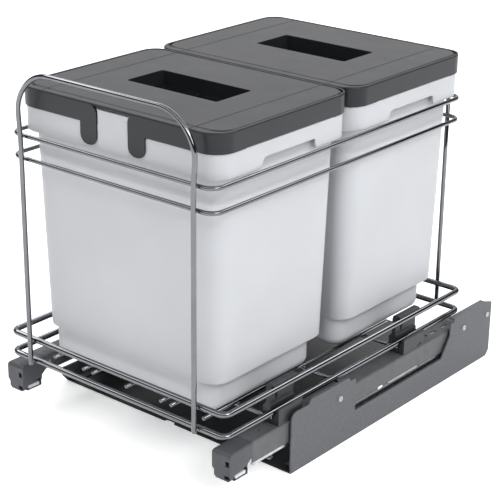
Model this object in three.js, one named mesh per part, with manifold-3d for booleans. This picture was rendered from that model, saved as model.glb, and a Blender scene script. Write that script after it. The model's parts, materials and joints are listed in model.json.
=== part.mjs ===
// Base-mounted pull-out waste unit: two lidded bins standing in a chromed wire basket that rides
// on full-extension undermount runners, screwed to the floor of a 400 mm kitchen cabinet.
// Millimetres, +Z up, the front at -Y, +X to the right seen from the front, z = 0 under the base.
import * as THREE from 'three';
import { mergeVertices } from 'three/addons/utils/BufferGeometryUtils.js';
import Module from 'manifold-3d';

const wasm = await Module();
wasm.setup();

// ---- Clearances ----
const weldGap = 0.3; // two wires welded where they cross
const seatGap = 0.3; // a loose piece standing in its seat

// ---- Fixed base ----
const baseHalfWidth = 178.5;
const baseFront = 97;
const baseDepth = 414;
const baseSheet = 1.8;
const baseNotchWidth = 14;
const baseNotchDepth = 4;
const baseNotchX = -5;
const baseSlotLength = 22;
const baseSlotWidth = 6;
const baseSlotFromFront = 303;
const floorScrewInset = 38.5;
const floorScrewFront = 10;
const floorScrewRear = 26;
const floorScrewShank = 1.9;
const floorScrewHead = 4.2;
const floorScrewHeadHeight = 2.4;
const floorHoleClearance = 0.4;

// ---- Side brackets ----
const bracketSheet = 1.8;
const bracketHeight = 74.5;
const bracketNoseRadius = 9;
const bracketTopLipFrom = 33;
const bracketTopLipLength = 71;
const bracketTopLipRise = 5;
const bracketTopLipReach = 2.2;
const bracketWindowFront = 119;
const bracketWindowSill = 32.8;
const bracketWindowSlopeFrom = 300;
const bracketWindowRear = 318;
const bracketWindowSlopeTop = 58;
const bracketRearFlangeFrom = 326;
const bracketRearFlangeLength = 73;
const bracketRearFlangeReach = 6.5;
const bracketRearFlangeTop = 79;
const bracketRearChamfer = 7;
const bracketFootWidth = 14;
const bracketFootInset = 10;
const leftLipHeight = 20.5;
const leftLipLead = 8.5;
const leftWallFrom = 46;
const leftWallSlope = 8;
const fixingRadius = 3.6;
const fixingHead = 1.2;
const fixingHeight = 59;
const fixingFrontY = 90;
const fixingMidY = 350;
const fixingRearY = 405;

// ---- Runners ----
const railEarReach = 15.2;
const runnerTop = 64;
const coverHalfWidth = 12.5;
const coverSheet = 1.2;
const coverSkirt = 38.5;
const coverLip = 7;
const coverFront = 35;
const coverRear = 458;
const coverHoleRadius = 2.6;
const coverHoleFromFront = 24;
const coverSlotWidth = 4;
const coverSlotLength = 12;
const coverSlotFromRear = 58;
const coverSlotPitch = 25;
const coverNickFromFront = 254;
const coverNickLength = 63;
const coverNickHeight = 2.2;
const drawerSheet = 1.4;
const drawerFoot = 34.4;
const drawerReturn = 3.4;
const drawerEndInset = 2;
const middleHalfWidth = 7;
const middleSheet = 1.2;
const middleTop = 58.4;
const middleFoot = 41;
const middleFront = 48;
const middleRear = 436;
const fixedSheet = 1.4;
const fixedWebZ = 31;
const fixedHalfWidth = 4.4;
const fixedTop = 52;
const fixedFront = 118;
const fixedRear = 505;
const fixedEarHeight = 63;
const fixedEarLength = 52;
const innerCageFront = 228;
const innerCageLength = 100;
const outerCageFront = 165;
const outerCageLength = 170;
const cageRollers = 4;
const cageWeb = 0.8;
const softCloseLength = 130;
const softCloseHalfWidth = 2.7;
const softCloseTop = 50;
const softCloseNoseLength = 26;
const softCloseNoseRadius = 2.4;

// ---- Front end caps and their release levers ----
const capHalfWidth = 13;
const capFront = -2;
const capTop = 63.6;
const capFoot = 30;
const capStepHeight = 42;
const capStep = 3;
const capFootChamfer = 6;
const capLipThickness = 6;
const capArchZ = 37.6;
const capArchFlatTo = 15;
const capArchMidY = 27;
const capArchMidRise = 2.4;
const capArchHighY = 33;
const capArchHighRise = 7.1;
const capRearRise = 10.4;
const capHoleSide = 3.6;
const capHoleDepth = 9;
const capHoleX = 8.4;
const capHoleZ = 51;
const capNotchWidth = 5;
const capNotchHeight = 3;
const capNotchZ = 35.5;
const capNotchDepth = 3.5;
const leverPinY = 28.5;
const leverPinZ = 36.4;
const leverPinRadius = 1.4;
const leverBarrelRadius = 2.4;
const leverPinGap = 0.35;
const leverEarThickness = 2.2;
const leverEarRadius = 3.6;
const leverEarX = 7.5;
const leverThickness = 3.4;
const leverFront = 5;
const leverPadThickness = 3.2;
const leverPadHeight = 5;

// ---- Wire basket ----
const basketBeyondRunner = 3.5;
const basketFront = 0;
const basketRearInset = 7;
const basketCorner = 10;
const lowerWire = 7;
const lowerLoopZ = 79.6;
const lowerLoopPitch = 26;
const midLoopInset = 15.5;
const midCorner = 14;
const midWire = 5;
const midLoopPitch = 26.5;
const archWire = 5.8;
const archInset = 37.5;
const archFootZ = 76;
const archTopZ = 429;
const archBend = 47;
const rearWire = 5.4;
const rearInset = 37;
const gridWire = 4.5;
const gridFront = 19.7;
const gridRearInset = 87;
const gridInner = 53.2;
const gridPairPitch = 15.6;
const gridOuterInset = 9.3;
const crossOverhang = 1;

// ---- Clips that lock the basket on the runners ----
const clipLength = 42;
const clipFrontY = 80.8;
const clipRearInset = 44.5;
const clipInner = 11;
const clipOuter = 11.5;
const clipBlockTop = 84;
const clipPostWidth = 9;
const clipHookTop = 113;
const clipHookDepth = 11;
const clipHookOver = 1;

// ---- Bins ----
const binFront = 7.5;
const binSideInset = 0.5;
const binDepth = 225;
const binGap = 1.5;
const binCorner = 25;
const binWall = 2.2;
const binNeckHeight = 17.7;
const binSkirtHeight = 28.3;
const binRimInset = 1.9;
const binRimFoot = 356;
const bodyInsetHigh = 9.7;
const bodyInsetLow = 15.5;
const bodyCorner = 22;
const footInset = 23;
const footTop = 119;
const footEdge = 8;
const ledgeEdge = 1.5;
const gripLength = 89;
const gripRearward = 4;
const gripHeight = 11;
const gripCorner = 6;
const badgeRaise = 0.4;
const badgeGap = 1;

// ---- Lids ----
const lidHeight = 22.5;
const lidShoulderGap = 0.5;
const lidWall = 2.2;
const lidEdge = 1.6;
const lidRingFront = 10;
const lidRingSide = 3.8;
const lidRingCorner = 17;
const lidLedge = 4.5;
const panelGap = 0.5;
const panelCorner = 21;
const panelEdge = 1.1;
const neckGap = 0.5;
const openingHalfWidth = 66;
const openingFront = 91.5;
const openingDepth = 58.5;
const openingCorner = 3;
const chuteWall = 1.8;
const chuteDepth = 18;
const prongGapHalf = 23;
const prongWidth = 24.5;
const prongDrop = 24.3;
const prongThickness = 1.4;
const prongCorner = 9;

// ---- Facets ----
const cornerPoints = 5;
const wireSides = 8;
const archSteps = 64;
const holeSides = 16;

// ---- Sizes that follow from the ones above ----
const baseRear = baseFront + baseDepth;
const plateHalfWidth = baseHalfWidth - bracketSheet;
const runnerX = plateHalfWidth - railEarReach;
const basketHalfWidth = runnerX + basketBeyondRunner;
const binPitch = binDepth + binGap;
const basketRear = binFront + binPitch + binDepth - basketRearInset;
const midHalfWidth = basketHalfWidth - midLoopInset;
const binHalfWidth = midHalfWidth - binSideInset;
const archHalfWidth = basketHalfWidth - archInset;
const rearHalfWidth = basketHalfWidth - rearInset;
const gridRear = basketRear - gridRearInset;
const clipRearY = gridRear - clipRearInset;
const gridOuter = binHalfWidth - footInset - gridOuterInset;
const binRimShoulder = binRimFoot + binSkirtHeight;
const binRimTop = binRimShoulder + binNeckHeight;
const badgeFoot = binRimFoot + badgeGap;
const lidFoot = binRimShoulder + lidShoulderGap;
const lidTop = lidFoot + lidHeight;
const prongFoot = lidFoot - prongDrop;
const midTopZ = binRimFoot - seatGap - midWire / 2;
const archY = basketFront - lowerWire / 2 - weldGap - archWire / 2;
const midFront = archY + archWire / 2 + weldGap + midWire / 2;
const rearWireY = basketRear + lowerWire / 2 + weldGap + rearWire / 2;
const midRear = rearWireY - rearWire / 2 - weldGap - midWire / 2;
const crossZ = lowerLoopZ - lowerWire / 2 - weldGap - gridWire / 2;
const gridZ = crossZ + gridWire + weldGap;
const binFloorZ = gridZ + gridWire / 2 + seatGap;
const crossFrontY = clipFrontY - weldGap - gridWire / 2;
const crossRearY = clipRearY - weldGap - gridWire / 2;
const crossMidY = (crossFrontY + crossRearY) / 2;
const capRear = coverFront;
const overallFront = archY - archWire / 2;
const overallRear = baseRear;

// ---- Finishes ----
function finish(color, roughness, metalness) {
  return new THREE.MeshStandardMaterial({ color, roughness, metalness });
}
const powderCoat = finish(0x4a4d50, 0.6, 0.2);
const powderCoatLight = finish(0x6c6e72, 0.55, 0.25);
const zinc = finish(0xb9bdc0, 0.35, 0.9);
const chrome = finish(0xe4e6e8, 0.08, 1.0);
const darkPlastic = finish(0x37393c, 0.5, 0.0);
const lidPlastic = finish(0x6e7175, 0.55, 0.0);
const binPlastic = finish(0xd4d6d8, 0.45, 0.0);
const padPlastic = finish(0xb8bbbe, 0.5, 0.0);
const whitePlastic = finish(0xf0f0ee, 0.4, 0.0);

// ---- Solids ----

// Joins shared corners, so that a geometry becomes one closed solid.
function solid(geometry) {
  const bare = geometry.clone();
  bare.deleteAttribute('normal');
  bare.deleteAttribute('uv');
  const merged = mergeVertices(bare, 1e-4);
  const positions = merged.getAttribute('position').array;
  const mesh = new wasm.Mesh({
    numProp: 3,
    vertProperties: new Float32Array(positions),
    triVerts: new Uint32Array(merged.getIndex().array),
  });
  return new wasm.Manifold(mesh);
}

function geometryOf(manifold) {
  const mesh = manifold.getMesh();
  const geometry = new THREE.BufferGeometry();
  geometry.setAttribute('position', new THREE.BufferAttribute(new Float32Array(mesh.vertProperties), 3));
  geometry.setIndex(new THREE.BufferAttribute(new Uint32Array(mesh.triVerts), 1));
  return geometry;
}

function join(first, ...others) {
  let result = solid(first);
  for (const other of others) {
    result = result.add(solid(other));
  }
  return geometryOf(result);
}

function cut(first, ...others) {
  let result = solid(first);
  for (const other of others) {
    result = result.subtract(solid(other));
  }
  return geometryOf(result);
}

function common(first, second) {
  return geometryOf(solid(first).intersect(solid(second)));
}

function block(x0, x1, y0, y1, z0, z1) {
  const geometry = new THREE.BoxGeometry(x1 - x0, y1 - y0, z1 - z0);
  geometry.translate((x0 + x1) / 2, (y0 + y1) / 2, (z0 + z1) / 2);
  return geometry;
}

// An outline in (y, z), pushed along X from x0 to x1.
function plateAcross(outline, x0, x1) {
  const shape = new THREE.Shape(outline.map(([y, z]) => new THREE.Vector2(y, z)));
  const geometry = new THREE.ExtrudeGeometry(shape, { depth: x1 - x0, bevelEnabled: false });
  const turn = new THREE.Matrix4().set(0, 0, 1, x0, 1, 0, 0, 0, 0, 1, 0, 0, 0, 0, 0, 1);
  return geometry.applyMatrix4(turn);
}

// An outline in (x, z), pushed along Y from y0 to y1.
function barAlong(outline, y0, y1) {
  const shape = new THREE.Shape(outline.map(([x, z]) => new THREE.Vector2(x, z)));
  const geometry = new THREE.ExtrudeGeometry(shape, { depth: y1 - y0, bevelEnabled: false });
  const turn = new THREE.Matrix4().set(1, 0, 0, 0, 0, 0, -1, y1, 0, 1, 0, 0, 0, 0, 0, 1);
  return geometry.applyMatrix4(turn);
}

function rodX(radius, x0, x1, y, z) {
  const geometry = new THREE.CylinderGeometry(radius, radius, x1 - x0, holeSides);
  geometry.rotateZ(Math.PI / 2);
  geometry.translate((x0 + x1) / 2, y, z);
  return geometry;
}

function rodY(radius, y0, y1, x, z, sides = holeSides) {
  const geometry = new THREE.CylinderGeometry(radius, radius, y1 - y0, sides);
  geometry.translate(x, (y0 + y1) / 2, z);
  return geometry;
}

function rodZ(radius, z0, z1, x, y) {
  const geometry = new THREE.CylinderGeometry(radius, radius, z1 - z0, holeSides);
  geometry.rotateX(Math.PI / 2);
  geometry.translate(x, y, (z0 + z1) / 2);
  return geometry;
}

// A straight wire with softened ends, of unit direction Y before it is turned.
function wire(diameter, length) {
  const radius = diameter / 2;
  const bevel = radius / 2;
  const profile = [
    new THREE.Vector2(0, -length / 2),
    new THREE.Vector2(radius - bevel, -length / 2),
    new THREE.Vector2(radius, -length / 2 + bevel),
    new THREE.Vector2(radius, length / 2 - bevel),
    new THREE.Vector2(radius - bevel, length / 2),
    new THREE.Vector2(0, length / 2),
  ];
  return new THREE.LatheGeometry(profile, wireSides);
}

function mirrorX(geometry) {
  const mirrored = geometry.clone();
  mirrored.scale(-1, 1, 1);
  if (mirrored.getIndex() === null) {
    const position = mirrored.getAttribute('position');
    for (let i = 0; i < position.count; i += 3) {
      for (let k = 0; k < 3; k += 1) {
        const held = position.getComponent(i + 1, k);
        position.setComponent(i + 1, k, position.getComponent(i + 2, k));
        position.setComponent(i + 2, k, held);
      }
    }
    return mirrored;
  }
  const index = mirrored.getIndex().array;
  for (let i = 0; i < index.length; i += 3) {
    const held = index[i + 1];
    index[i + 1] = index[i + 2];
    index[i + 2] = held;
  }
  return mirrored;
}

// The corners of a rectangle with rounded corners, anticlockwise seen from above.
function roundedRing(x0, x1, y0, y1, radius, z) {
  const points = [];
  const centres = [
    [x1 - radius, y0 + radius, -Math.PI / 2],
    [x1 - radius, y1 - radius, 0],
    [x0 + radius, y1 - radius, Math.PI / 2],
    [x0 + radius, y0 + radius, Math.PI],
  ];
  for (const [cx, cy, from] of centres) {
    for (let i = 0; i < cornerPoints; i += 1) {
      const angle = from + ((Math.PI / 2) * i) / (cornerPoints - 1);
      points.push([cx + radius * Math.cos(angle), cy + radius * Math.sin(angle), z]);
    }
  }
  return points;
}

// A skin over rings of equal point counts. It is capped at both ends, or closes on itself.
function loft(rings, closed) {
  const count = rings[0].length;
  const positions = rings.flat(2);
  const index = [];
  const spans = closed ? rings.length : rings.length - 1;
  for (let ring = 0; ring < spans; ring += 1) {
    const low = ring * count;
    const high = ((ring + 1) % rings.length) * count;
    for (let i = 0; i < count; i += 1) {
      const next = (i + 1) % count;
      index.push(low + i, low + next, high + next);
      index.push(low + i, high + next, high + i);
    }
  }
  if (!closed) {
    const last = (rings.length - 1) * count;
    for (let i = 1; i < count - 1; i += 1) {
      index.push(0, i + 1, i);
      index.push(last, last + i, last + i + 1);
    }
  }
  const geometry = new THREE.BufferGeometry();
  geometry.setAttribute('position', new THREE.BufferAttribute(new Float32Array(positions), 3));
  geometry.setIndex(index);
  return geometry;
}

// A wire bent into a level rectangle, its centre line at the given half width and ends.
function wireLoop(halfWidth, y0, y1, corner, diameter, z) {
  const rings = [];
  for (let side = 0; side < wireSides; side += 1) {
    const angle = (2 * Math.PI * (side + 0.5)) / wireSides;
    const out = (diameter / 2) * Math.cos(angle);
    const up = (diameter / 2) * Math.sin(angle);
    rings.push(
      roundedRing(-halfWidth - out, halfWidth + out, y0 - out, y1 + out, corner + out, z + up),
    );
  }
  return loft(rings, true);
}

// ---- Scene ----
const unit = new THREE.Group();
unit.position.y = -(overallFront + overallRear) / 2;
const fixedBase = new THREE.Group();
const drawer = new THREE.Group();
unit.add(fixedBase, drawer);

function add(parent, name, geometry, material, x = 0, y = 0, z = 0) {
  const mesh = new THREE.Mesh(geometry, material);
  mesh.name = name;
  mesh.position.set(x, y, z);
  parent.add(mesh);
  return mesh;
}

// ---- Base plate and its floor screws ----
const floorScrewX = baseHalfWidth - floorScrewInset;
const floorScrews = [
  ['front_left', -floorScrewX, baseFront + floorScrewFront],
  ['front_right', floorScrewX, baseFront + floorScrewFront],
  ['rear_left', -floorScrewX, baseRear - floorScrewRear],
  ['rear_right', floorScrewX, baseRear - floorScrewRear],
];
const slotY = baseFront + baseSlotFromFront;
const plateCuts = [
  block(baseNotchX - baseNotchWidth / 2, baseNotchX + baseNotchWidth / 2,
    baseFront - 1, baseFront + baseNotchDepth, -1, baseSheet + 1),
  block(baseNotchX - baseSlotLength / 2, baseNotchX + baseSlotLength / 2,
    slotY - baseSlotWidth / 2, slotY + baseSlotWidth / 2, -1, baseSheet + 1),
];
for (const [, x, y] of floorScrews) {
  plateCuts.push(rodZ(floorScrewShank + floorHoleClearance, -1, baseSheet + 1, x, y));
}
const plate = cut(block(-plateHalfWidth, plateHalfWidth, baseFront, baseRear, 0, baseSheet), ...plateCuts);
add(fixedBase, 'base_plate', plate, powderCoat);
const floorScrew = join(
  rodZ(floorScrewShank, seatGap - baseSheet, seatGap + 1, 0, 0),
  rodZ(floorScrewHead, seatGap, seatGap + floorScrewHeadHeight, 0, 0),
);
for (const [place, x, y] of floorScrews) {
  add(fixedBase, `floor_screw_${place}`, floorScrew, zinc, x, y, baseSheet);
}

// ---- Side brackets ----

// The outline behind the front edge is the same on both sides.
function bracketTail() {
  const flangeFrom = baseFront + bracketRearFlangeFrom;
  const flangeTo = flangeFrom + bracketRearFlangeLength;
  return [
    [baseRear - bracketRearChamfer, 0],
    [baseRear, bracketRearChamfer],
    [baseRear, bracketHeight],
    [flangeTo, bracketRearFlangeTop],
    [flangeFrom, bracketRearFlangeTop],
    [flangeFrom, bracketHeight],
    [baseFront + bracketWindowRear, bracketHeight],
    [baseFront + bracketWindowRear, bracketWindowSlopeTop],
    [baseFront + bracketWindowSlopeFrom, bracketWindowSill],
    [baseFront + bracketWindowFront, bracketWindowSill],
    [baseFront + bracketWindowFront, bracketHeight],
  ];
}

function rightNose() {
  const points = [];
  const centreY = baseFront + bracketNoseRadius;
  const centreZ = bracketHeight - bracketNoseRadius;
  for (let i = 0; i < cornerPoints; i += 1) {
    const angle = Math.PI / 2 + ((Math.PI / 2) * i) / (cornerPoints - 1);
    const y = centreY + bracketNoseRadius * Math.cos(angle);
    points.push([y, centreZ + bracketNoseRadius * Math.sin(angle)]);
  }
  points.push([baseFront, 0]);
  return points;
}

function leftNose() {
  const wallFront = baseFront + leftWallFrom;
  const lipFront = baseFront - leftLipLead;
  return [
    [wallFront + leftWallSlope, bracketHeight],
    [wallFront, leftLipHeight],
    [lipFront, leftLipHeight],
    [lipFront, leftLipHeight / 2],
    [lipFront + leftLipLead / 2, leftLipHeight / 4],
    [baseFront, 0],
  ];
}

// The wall, its foot on the base plate, the rear flange and the rolled lip over the runner.
function bracket(nose) {
  const wall = plateAcross([...bracketTail(), ...nose], plateHalfWidth, baseHalfWidth);
  const foot = block(plateHalfWidth - bracketFootWidth, plateHalfWidth + bracketSheet / 2,
    baseFront + bracketFootInset, baseRear - bracketFootInset, baseSheet, baseSheet + bracketSheet);
  const flangeFrom = baseFront + bracketRearFlangeFrom;
  const flange = block(plateHalfWidth - bracketRearFlangeReach, plateHalfWidth + bracketSheet / 2,
    flangeFrom, flangeFrom + bracketRearFlangeLength,
    bracketRearFlangeTop - bracketSheet, bracketRearFlangeTop);
  return [wall, foot, flange];
}

function topLip() {
  const lipFrom = baseFront + bracketTopLipFrom;
  const lipTo = lipFrom + bracketTopLipLength;
  const lipTop = bracketHeight + bracketTopLipRise;
  return [
    block(plateHalfWidth, baseHalfWidth, lipFrom, lipTo, bracketHeight - 1, lipTop),
    block(plateHalfWidth - bracketTopLipReach, plateHalfWidth + bracketSheet / 2,
      lipFrom, lipTo, lipTop - bracketSheet, lipTop),
  ];
}

const rightBracket = join(...bracket(rightNose()), ...topLip());
const leftBracket = join(...bracket(leftNose()));
add(fixedBase, 'bracket_right', rightBracket, powderCoatLight);
add(fixedBase, 'bracket_left', mirrorX(leftBracket), powderCoatLight);
const fixing = rodX(fixingRadius, 0, fixingHead, 0, 0);
for (const [place, offset] of [['front', fixingFrontY], ['middle', fixingMidY], ['rear', fixingRearY]]) {
  const y = baseFront + offset;
  add(fixedBase, `bracket_fixing_${place}_right`, fixing, whitePlastic, baseHalfWidth, y, fixingHeight);
  add(fixedBase, `bracket_fixing_${place}_left`, mirrorX(fixing), whitePlastic,
    -baseHalfWidth, y, fixingHeight);
}

// ---- Runners, drawn about their own centre line with +X towards the cabinet side ----
const webTop = fixedWebZ + fixedSheet;

// A web with two upstands that carry the rollers, and two ears fixed to the bracket.
function fixedRail() {
  const web = block(-fixedHalfWidth, coverHalfWidth, fixedFront, fixedRear, fixedWebZ, webTop);
  const upstand = (x) => block(x, x + fixedSheet, fixedFront, fixedRear, fixedWebZ, fixedTop);
  const ear = (centre) => {
    const y0 = baseFront + centre - fixedEarLength / 2;
    const y1 = Math.min(y0 + fixedEarLength, fixedRear);
    return [
      block(0, railEarReach, y0, y1, fixedWebZ, webTop),
      block(railEarReach - fixedSheet, railEarReach, y0, y1, fixedWebZ, fixedEarHeight),
    ];
  };
  const rearEar = ear((fixingMidY + fixingRearY) / 2);
  return join(web, upstand(-fixedHalfWidth), upstand(fixedHalfWidth - fixedSheet),
    ...ear(fixingFrontY), ...rearEar);
}

function middleRail() {
  const outer = block(-middleHalfWidth, middleHalfWidth, middleFront, middleRear, middleFoot, middleTop);
  const inside = middleHalfWidth - middleSheet;
  const hollow = block(-inside, inside, middleFront - 1, middleRear + 1,
    middleFoot - 1, middleTop - middleSheet);
  return cut(outer, hollow);
}

function drawerRail() {
  const half = coverHalfWidth - coverSheet;
  const top = runnerTop - coverSheet;
  const y0 = coverFront + drawerEndInset;
  const y1 = coverRear - drawerEndInset;
  const outline = [
    [-half, top - drawerSheet],
    [half - drawerSheet, top - drawerSheet],
    [half - drawerSheet, drawerFoot + drawerSheet],
    [half - drawerReturn, drawerFoot + drawerSheet],
    [half - drawerReturn, drawerFoot],
    [half, drawerFoot],
    [half, top],
    [-half, top],
  ];
  return barAlong(outline, y0, y1);
}

function runnerCover() {
  const inside = coverHalfWidth - coverSheet;
  const outline = [
    [-coverHalfWidth, runnerTop - coverLip],
    [-inside, runnerTop - coverLip],
    [-inside, runnerTop - coverSheet],
    [inside, runnerTop - coverSheet],
    [inside, coverSkirt],
    [coverHalfWidth, coverSkirt],
    [coverHalfWidth, runnerTop],
    [-coverHalfWidth, runnerTop],
  ];
  const bar = barAlong(outline, coverFront, coverRear);
  const through = [runnerTop - coverSheet - 1, runnerTop + 1];
  const nickFrom = coverFront + coverNickFromFront;
  const cuts = [
    rodZ(coverHoleRadius, ...through, 0, coverFront + coverHoleFromFront),
    block(inside - 1, coverHalfWidth + 1, nickFrom, nickFrom + coverNickLength,
      coverSkirt - 1, coverSkirt + coverNickHeight),
  ];
  for (let i = 0; i < 2; i += 1) {
    const y = coverRear - coverSlotFromRear + i * coverSlotPitch;
    cuts.push(block(-coverSlotWidth / 2, coverSlotWidth / 2,
      y - coverSlotLength / 2, y + coverSlotLength / 2, ...through));
  }
  return cut(bar, ...cuts);
}

// A strip of rollers, each poking out above and below the strip that spaces them.
function rollerCage(front, length, halfWidth, low, high) {
  const middle = (low + high) / 2;
  const web = block(-halfWidth, halfWidth, front, front + length,
    middle - cageWeb / 2, middle + cageWeb / 2);
  const parts = [web];
  const radius = (high - low) / 2;
  for (let i = 0; i < cageRollers; i += 1) {
    const y = front + (length * (i + 0.5)) / cageRollers;
    parts.push(rodX(radius, -halfWidth + cageWeb, halfWidth - cageWeb, y, middle));
  }
  return join(...parts);
}

function innerCage() {
  const half = middleHalfWidth - middleSheet - seatGap;
  const roof = middleTop - middleSheet - seatGap;
  return rollerCage(innerCageFront, innerCageLength, half, fixedTop + seatGap, roof);
}

function outerCage() {
  const roof = runnerTop - coverSheet - drawerSheet - seatGap;
  return rollerCage(outerCageFront, outerCageLength, middleHalfWidth, middleTop + seatGap, roof);
}

function softClose() {
  const rear = fixedRear - 1;
  const front = rear - softCloseLength;
  const low = webTop + seatGap;
  const body = block(-softCloseHalfWidth, softCloseHalfWidth, front, rear, low, softCloseTop);
  const centre = (low + softCloseTop) / 2;
  const nose = rodY(softCloseNoseRadius, front - softCloseNoseLength, front + 1, 0, centre);
  return join(body, nose);
}

const railPieces = [
  ['fixed_rail', fixedRail(), zinc, fixedBase],
  ['soft_close_unit', softClose(), darkPlastic, fixedBase],
  ['inner_roller_cage', innerCage(), whitePlastic, drawer],
  ['middle_rail', middleRail(), zinc, drawer],
  ['outer_roller_cage', outerCage(), whitePlastic, drawer],
  ['drawer_rail', drawerRail(), zinc, drawer],
  ['runner_cover', runnerCover(), powderCoat, drawer],
];
for (const [name, geometry, material, parent] of railPieces) {
  add(parent, `${name}_right`, geometry, material, runnerX);
  add(parent, `${name}_left`, mirrorX(geometry), material, -runnerX);
}

// ---- End caps, the same moulding on both sides ----
function endCap() {
  const face = [
    [-capHalfWidth, capTop],
    [-capHalfWidth, capStepHeight],
    [-capHalfWidth + capStep, capStepHeight - capStep],
    [-capHalfWidth + capStep, capFoot + capFootChamfer / 2],
    [-capHalfWidth + capFootChamfer, capFoot],
    [capHalfWidth - capFootChamfer / 2, capFoot],
    [capHalfWidth, capFoot + capFootChamfer / 2],
    [capHalfWidth, capTop],
  ];
  const lipRear = capFront + capLipThickness;
  const side = [
    [capFront, capFoot],
    [lipRear, capFoot],
    [lipRear, capArchZ],
    [capFront + capArchFlatTo, capArchZ],
    [capFront + capArchMidY, capArchZ + capArchMidRise],
    [capFront + capArchHighY, capArchZ + capArchHighRise],
    [capRear, capArchZ + capRearRise],
    [capRear, capTop],
    [capFront, capTop],
  ];
  const body = common(
    barAlong(face, capFront, capRear),
    plateAcross(side, -capHalfWidth, capHalfWidth),
  );
  const ears = [-leverEarX, leverEarX].map((x) => leverEar(x));
  const shell = join(body, ...ears);
  const hole = block(capHoleX - capHoleSide / 2, capHoleX + capHoleSide / 2, capFront - 1,
    capFront + capHoleDepth, capHoleZ - capHoleSide / 2, capHoleZ + capHoleSide / 2);
  const notch = block(capHoleX - capNotchWidth / 2, capHoleX + capNotchWidth / 2, capFront - 1,
    capFront + capNotchDepth, capNotchZ - capNotchHeight / 2, capNotchZ + capNotchHeight / 2);
  const pinHole = rodX(leverPinRadius + leverPinGap, -capHalfWidth - 1, capHalfWidth + 1,
    leverPinY, leverPinZ);
  return cut(shell, hole, notch, pinHole);
}

// An ear that hangs from the cap and holds the lever's pin.
function leverEar(x) {
  const x0 = x - leverEarThickness / 2;
  const x1 = x + leverEarThickness / 2;
  return join(
    rodX(leverEarRadius, x0, x1, leverPinY, leverPinZ),
    block(x0, x1, leverPinY - leverEarRadius, leverPinY + leverEarRadius,
      leverPinZ, capArchZ + capRearRise),
  );
}

// The lever hangs on its pin between the ears, its front end free below the cap.
function releaseLever() {
  const half = leverEarX - leverEarThickness / 2 - leverPinGap;
  const top = leverPinZ;
  const low = leverPinZ - leverThickness;
  const blade = block(-half, half, leverFront, leverPinY, low, top);
  const barrel = rodX(leverBarrelRadius, -half, half, leverPinY, leverPinZ);
  const pinReach = leverEarX + leverEarThickness / 2;
  const pin = rodX(leverPinRadius, -pinReach, pinReach, leverPinY, leverPinZ);
  const earFront = leverPinY - leverEarRadius - leverPinGap * 2;
  const wing = block(half - 1, capHalfWidth - leverPadThickness, leverFront, earFront, low, top);
  return join(blade, barrel, pin, wing);
}

function leverPad() {
  const earFront = leverPinY - leverEarRadius - leverPinGap * 2;
  const top = leverPinZ;
  return block(capHalfWidth - leverPadThickness, capHalfWidth, leverFront, earFront,
    top - leverPadHeight, top);
}

for (const [side, x] of [['right', runnerX], ['left', -runnerX]]) {
  add(drawer, `end_cap_${side}`, endCap(), powderCoatLight, x);
  add(drawer, `release_lever_${side}`, releaseLever(), darkPlastic, x);
  add(drawer, `lever_pad_${side}`, leverPad(), padPlastic, x);
}

// ---- Wire basket ----
for (let i = 0; i < 2; i += 1) {
  const place = i === 0 ? 'bottom' : 'top';
  const lowerZ = lowerLoopZ + i * lowerLoopPitch;
  const midZ = midTopZ - (1 - i) * midLoopPitch;
  add(drawer, `lower_loop_${place}`,
    wireLoop(basketHalfWidth, basketFront, basketRear, basketCorner, lowerWire, lowerZ), chrome);
  add(drawer, `upper_loop_${place}`,
    wireLoop(midHalfWidth, midFront, midRear, midCorner, midWire, midZ), chrome);
}

// The arch that is the pull handle: two legs welded in front of the loops and one bent top.
function archHandle() {
  const path = new THREE.CurvePath();
  const bendZ = archTopZ - archBend;
  const inX = archHalfWidth - archBend;
  path.add(new THREE.LineCurve3(
    new THREE.Vector3(-archHalfWidth, archY, archFootZ), new THREE.Vector3(-archHalfWidth, archY, bendZ)));
  path.add(bendCurve(-1, inX, bendZ, false));
  path.add(new THREE.LineCurve3(
    new THREE.Vector3(-inX, archY, archTopZ), new THREE.Vector3(inX, archY, archTopZ)));
  path.add(bendCurve(1, inX, bendZ, true));
  path.add(new THREE.LineCurve3(
    new THREE.Vector3(archHalfWidth, archY, bendZ), new THREE.Vector3(archHalfWidth, archY, archFootZ)));
  const section = new THREE.Shape();
  section.absarc(0, 0, archWire / 2, 0, 2 * Math.PI);
  return new THREE.ExtrudeGeometry(section, {
    steps: archSteps,
    curveSegments: wireSides,
    extrudePath: path,
  });
}

// A quarter circle in the arch's plane, from the leg to the top or from the top to the leg.
function bendCurve(sign, inX, bendZ, downwards) {
  const curve = new THREE.Curve();
  curve.getPoint = (t, target = new THREE.Vector3()) => {
    const turn = (Math.PI / 2) * (downwards ? 1 - t : t);
    const x = sign * (inX + archBend * Math.cos(turn));
    return target.set(x, archY, bendZ + archBend * Math.sin(turn));
  };
  return curve;
}

add(drawer, 'arch_handle', archHandle(), chrome);

const rearFoot = lowerLoopZ - lowerWire / 2;
const upright = wire(rearWire, midTopZ - rearFoot).rotateX(Math.PI / 2);
for (const [side, sign] of [['right', 1], ['left', -1]]) {
  add(drawer, `rear_upright_${side}`, upright, chrome,
    sign * rearHalfWidth, rearWireY, (midTopZ + rearFoot) / 2);
}

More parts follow.
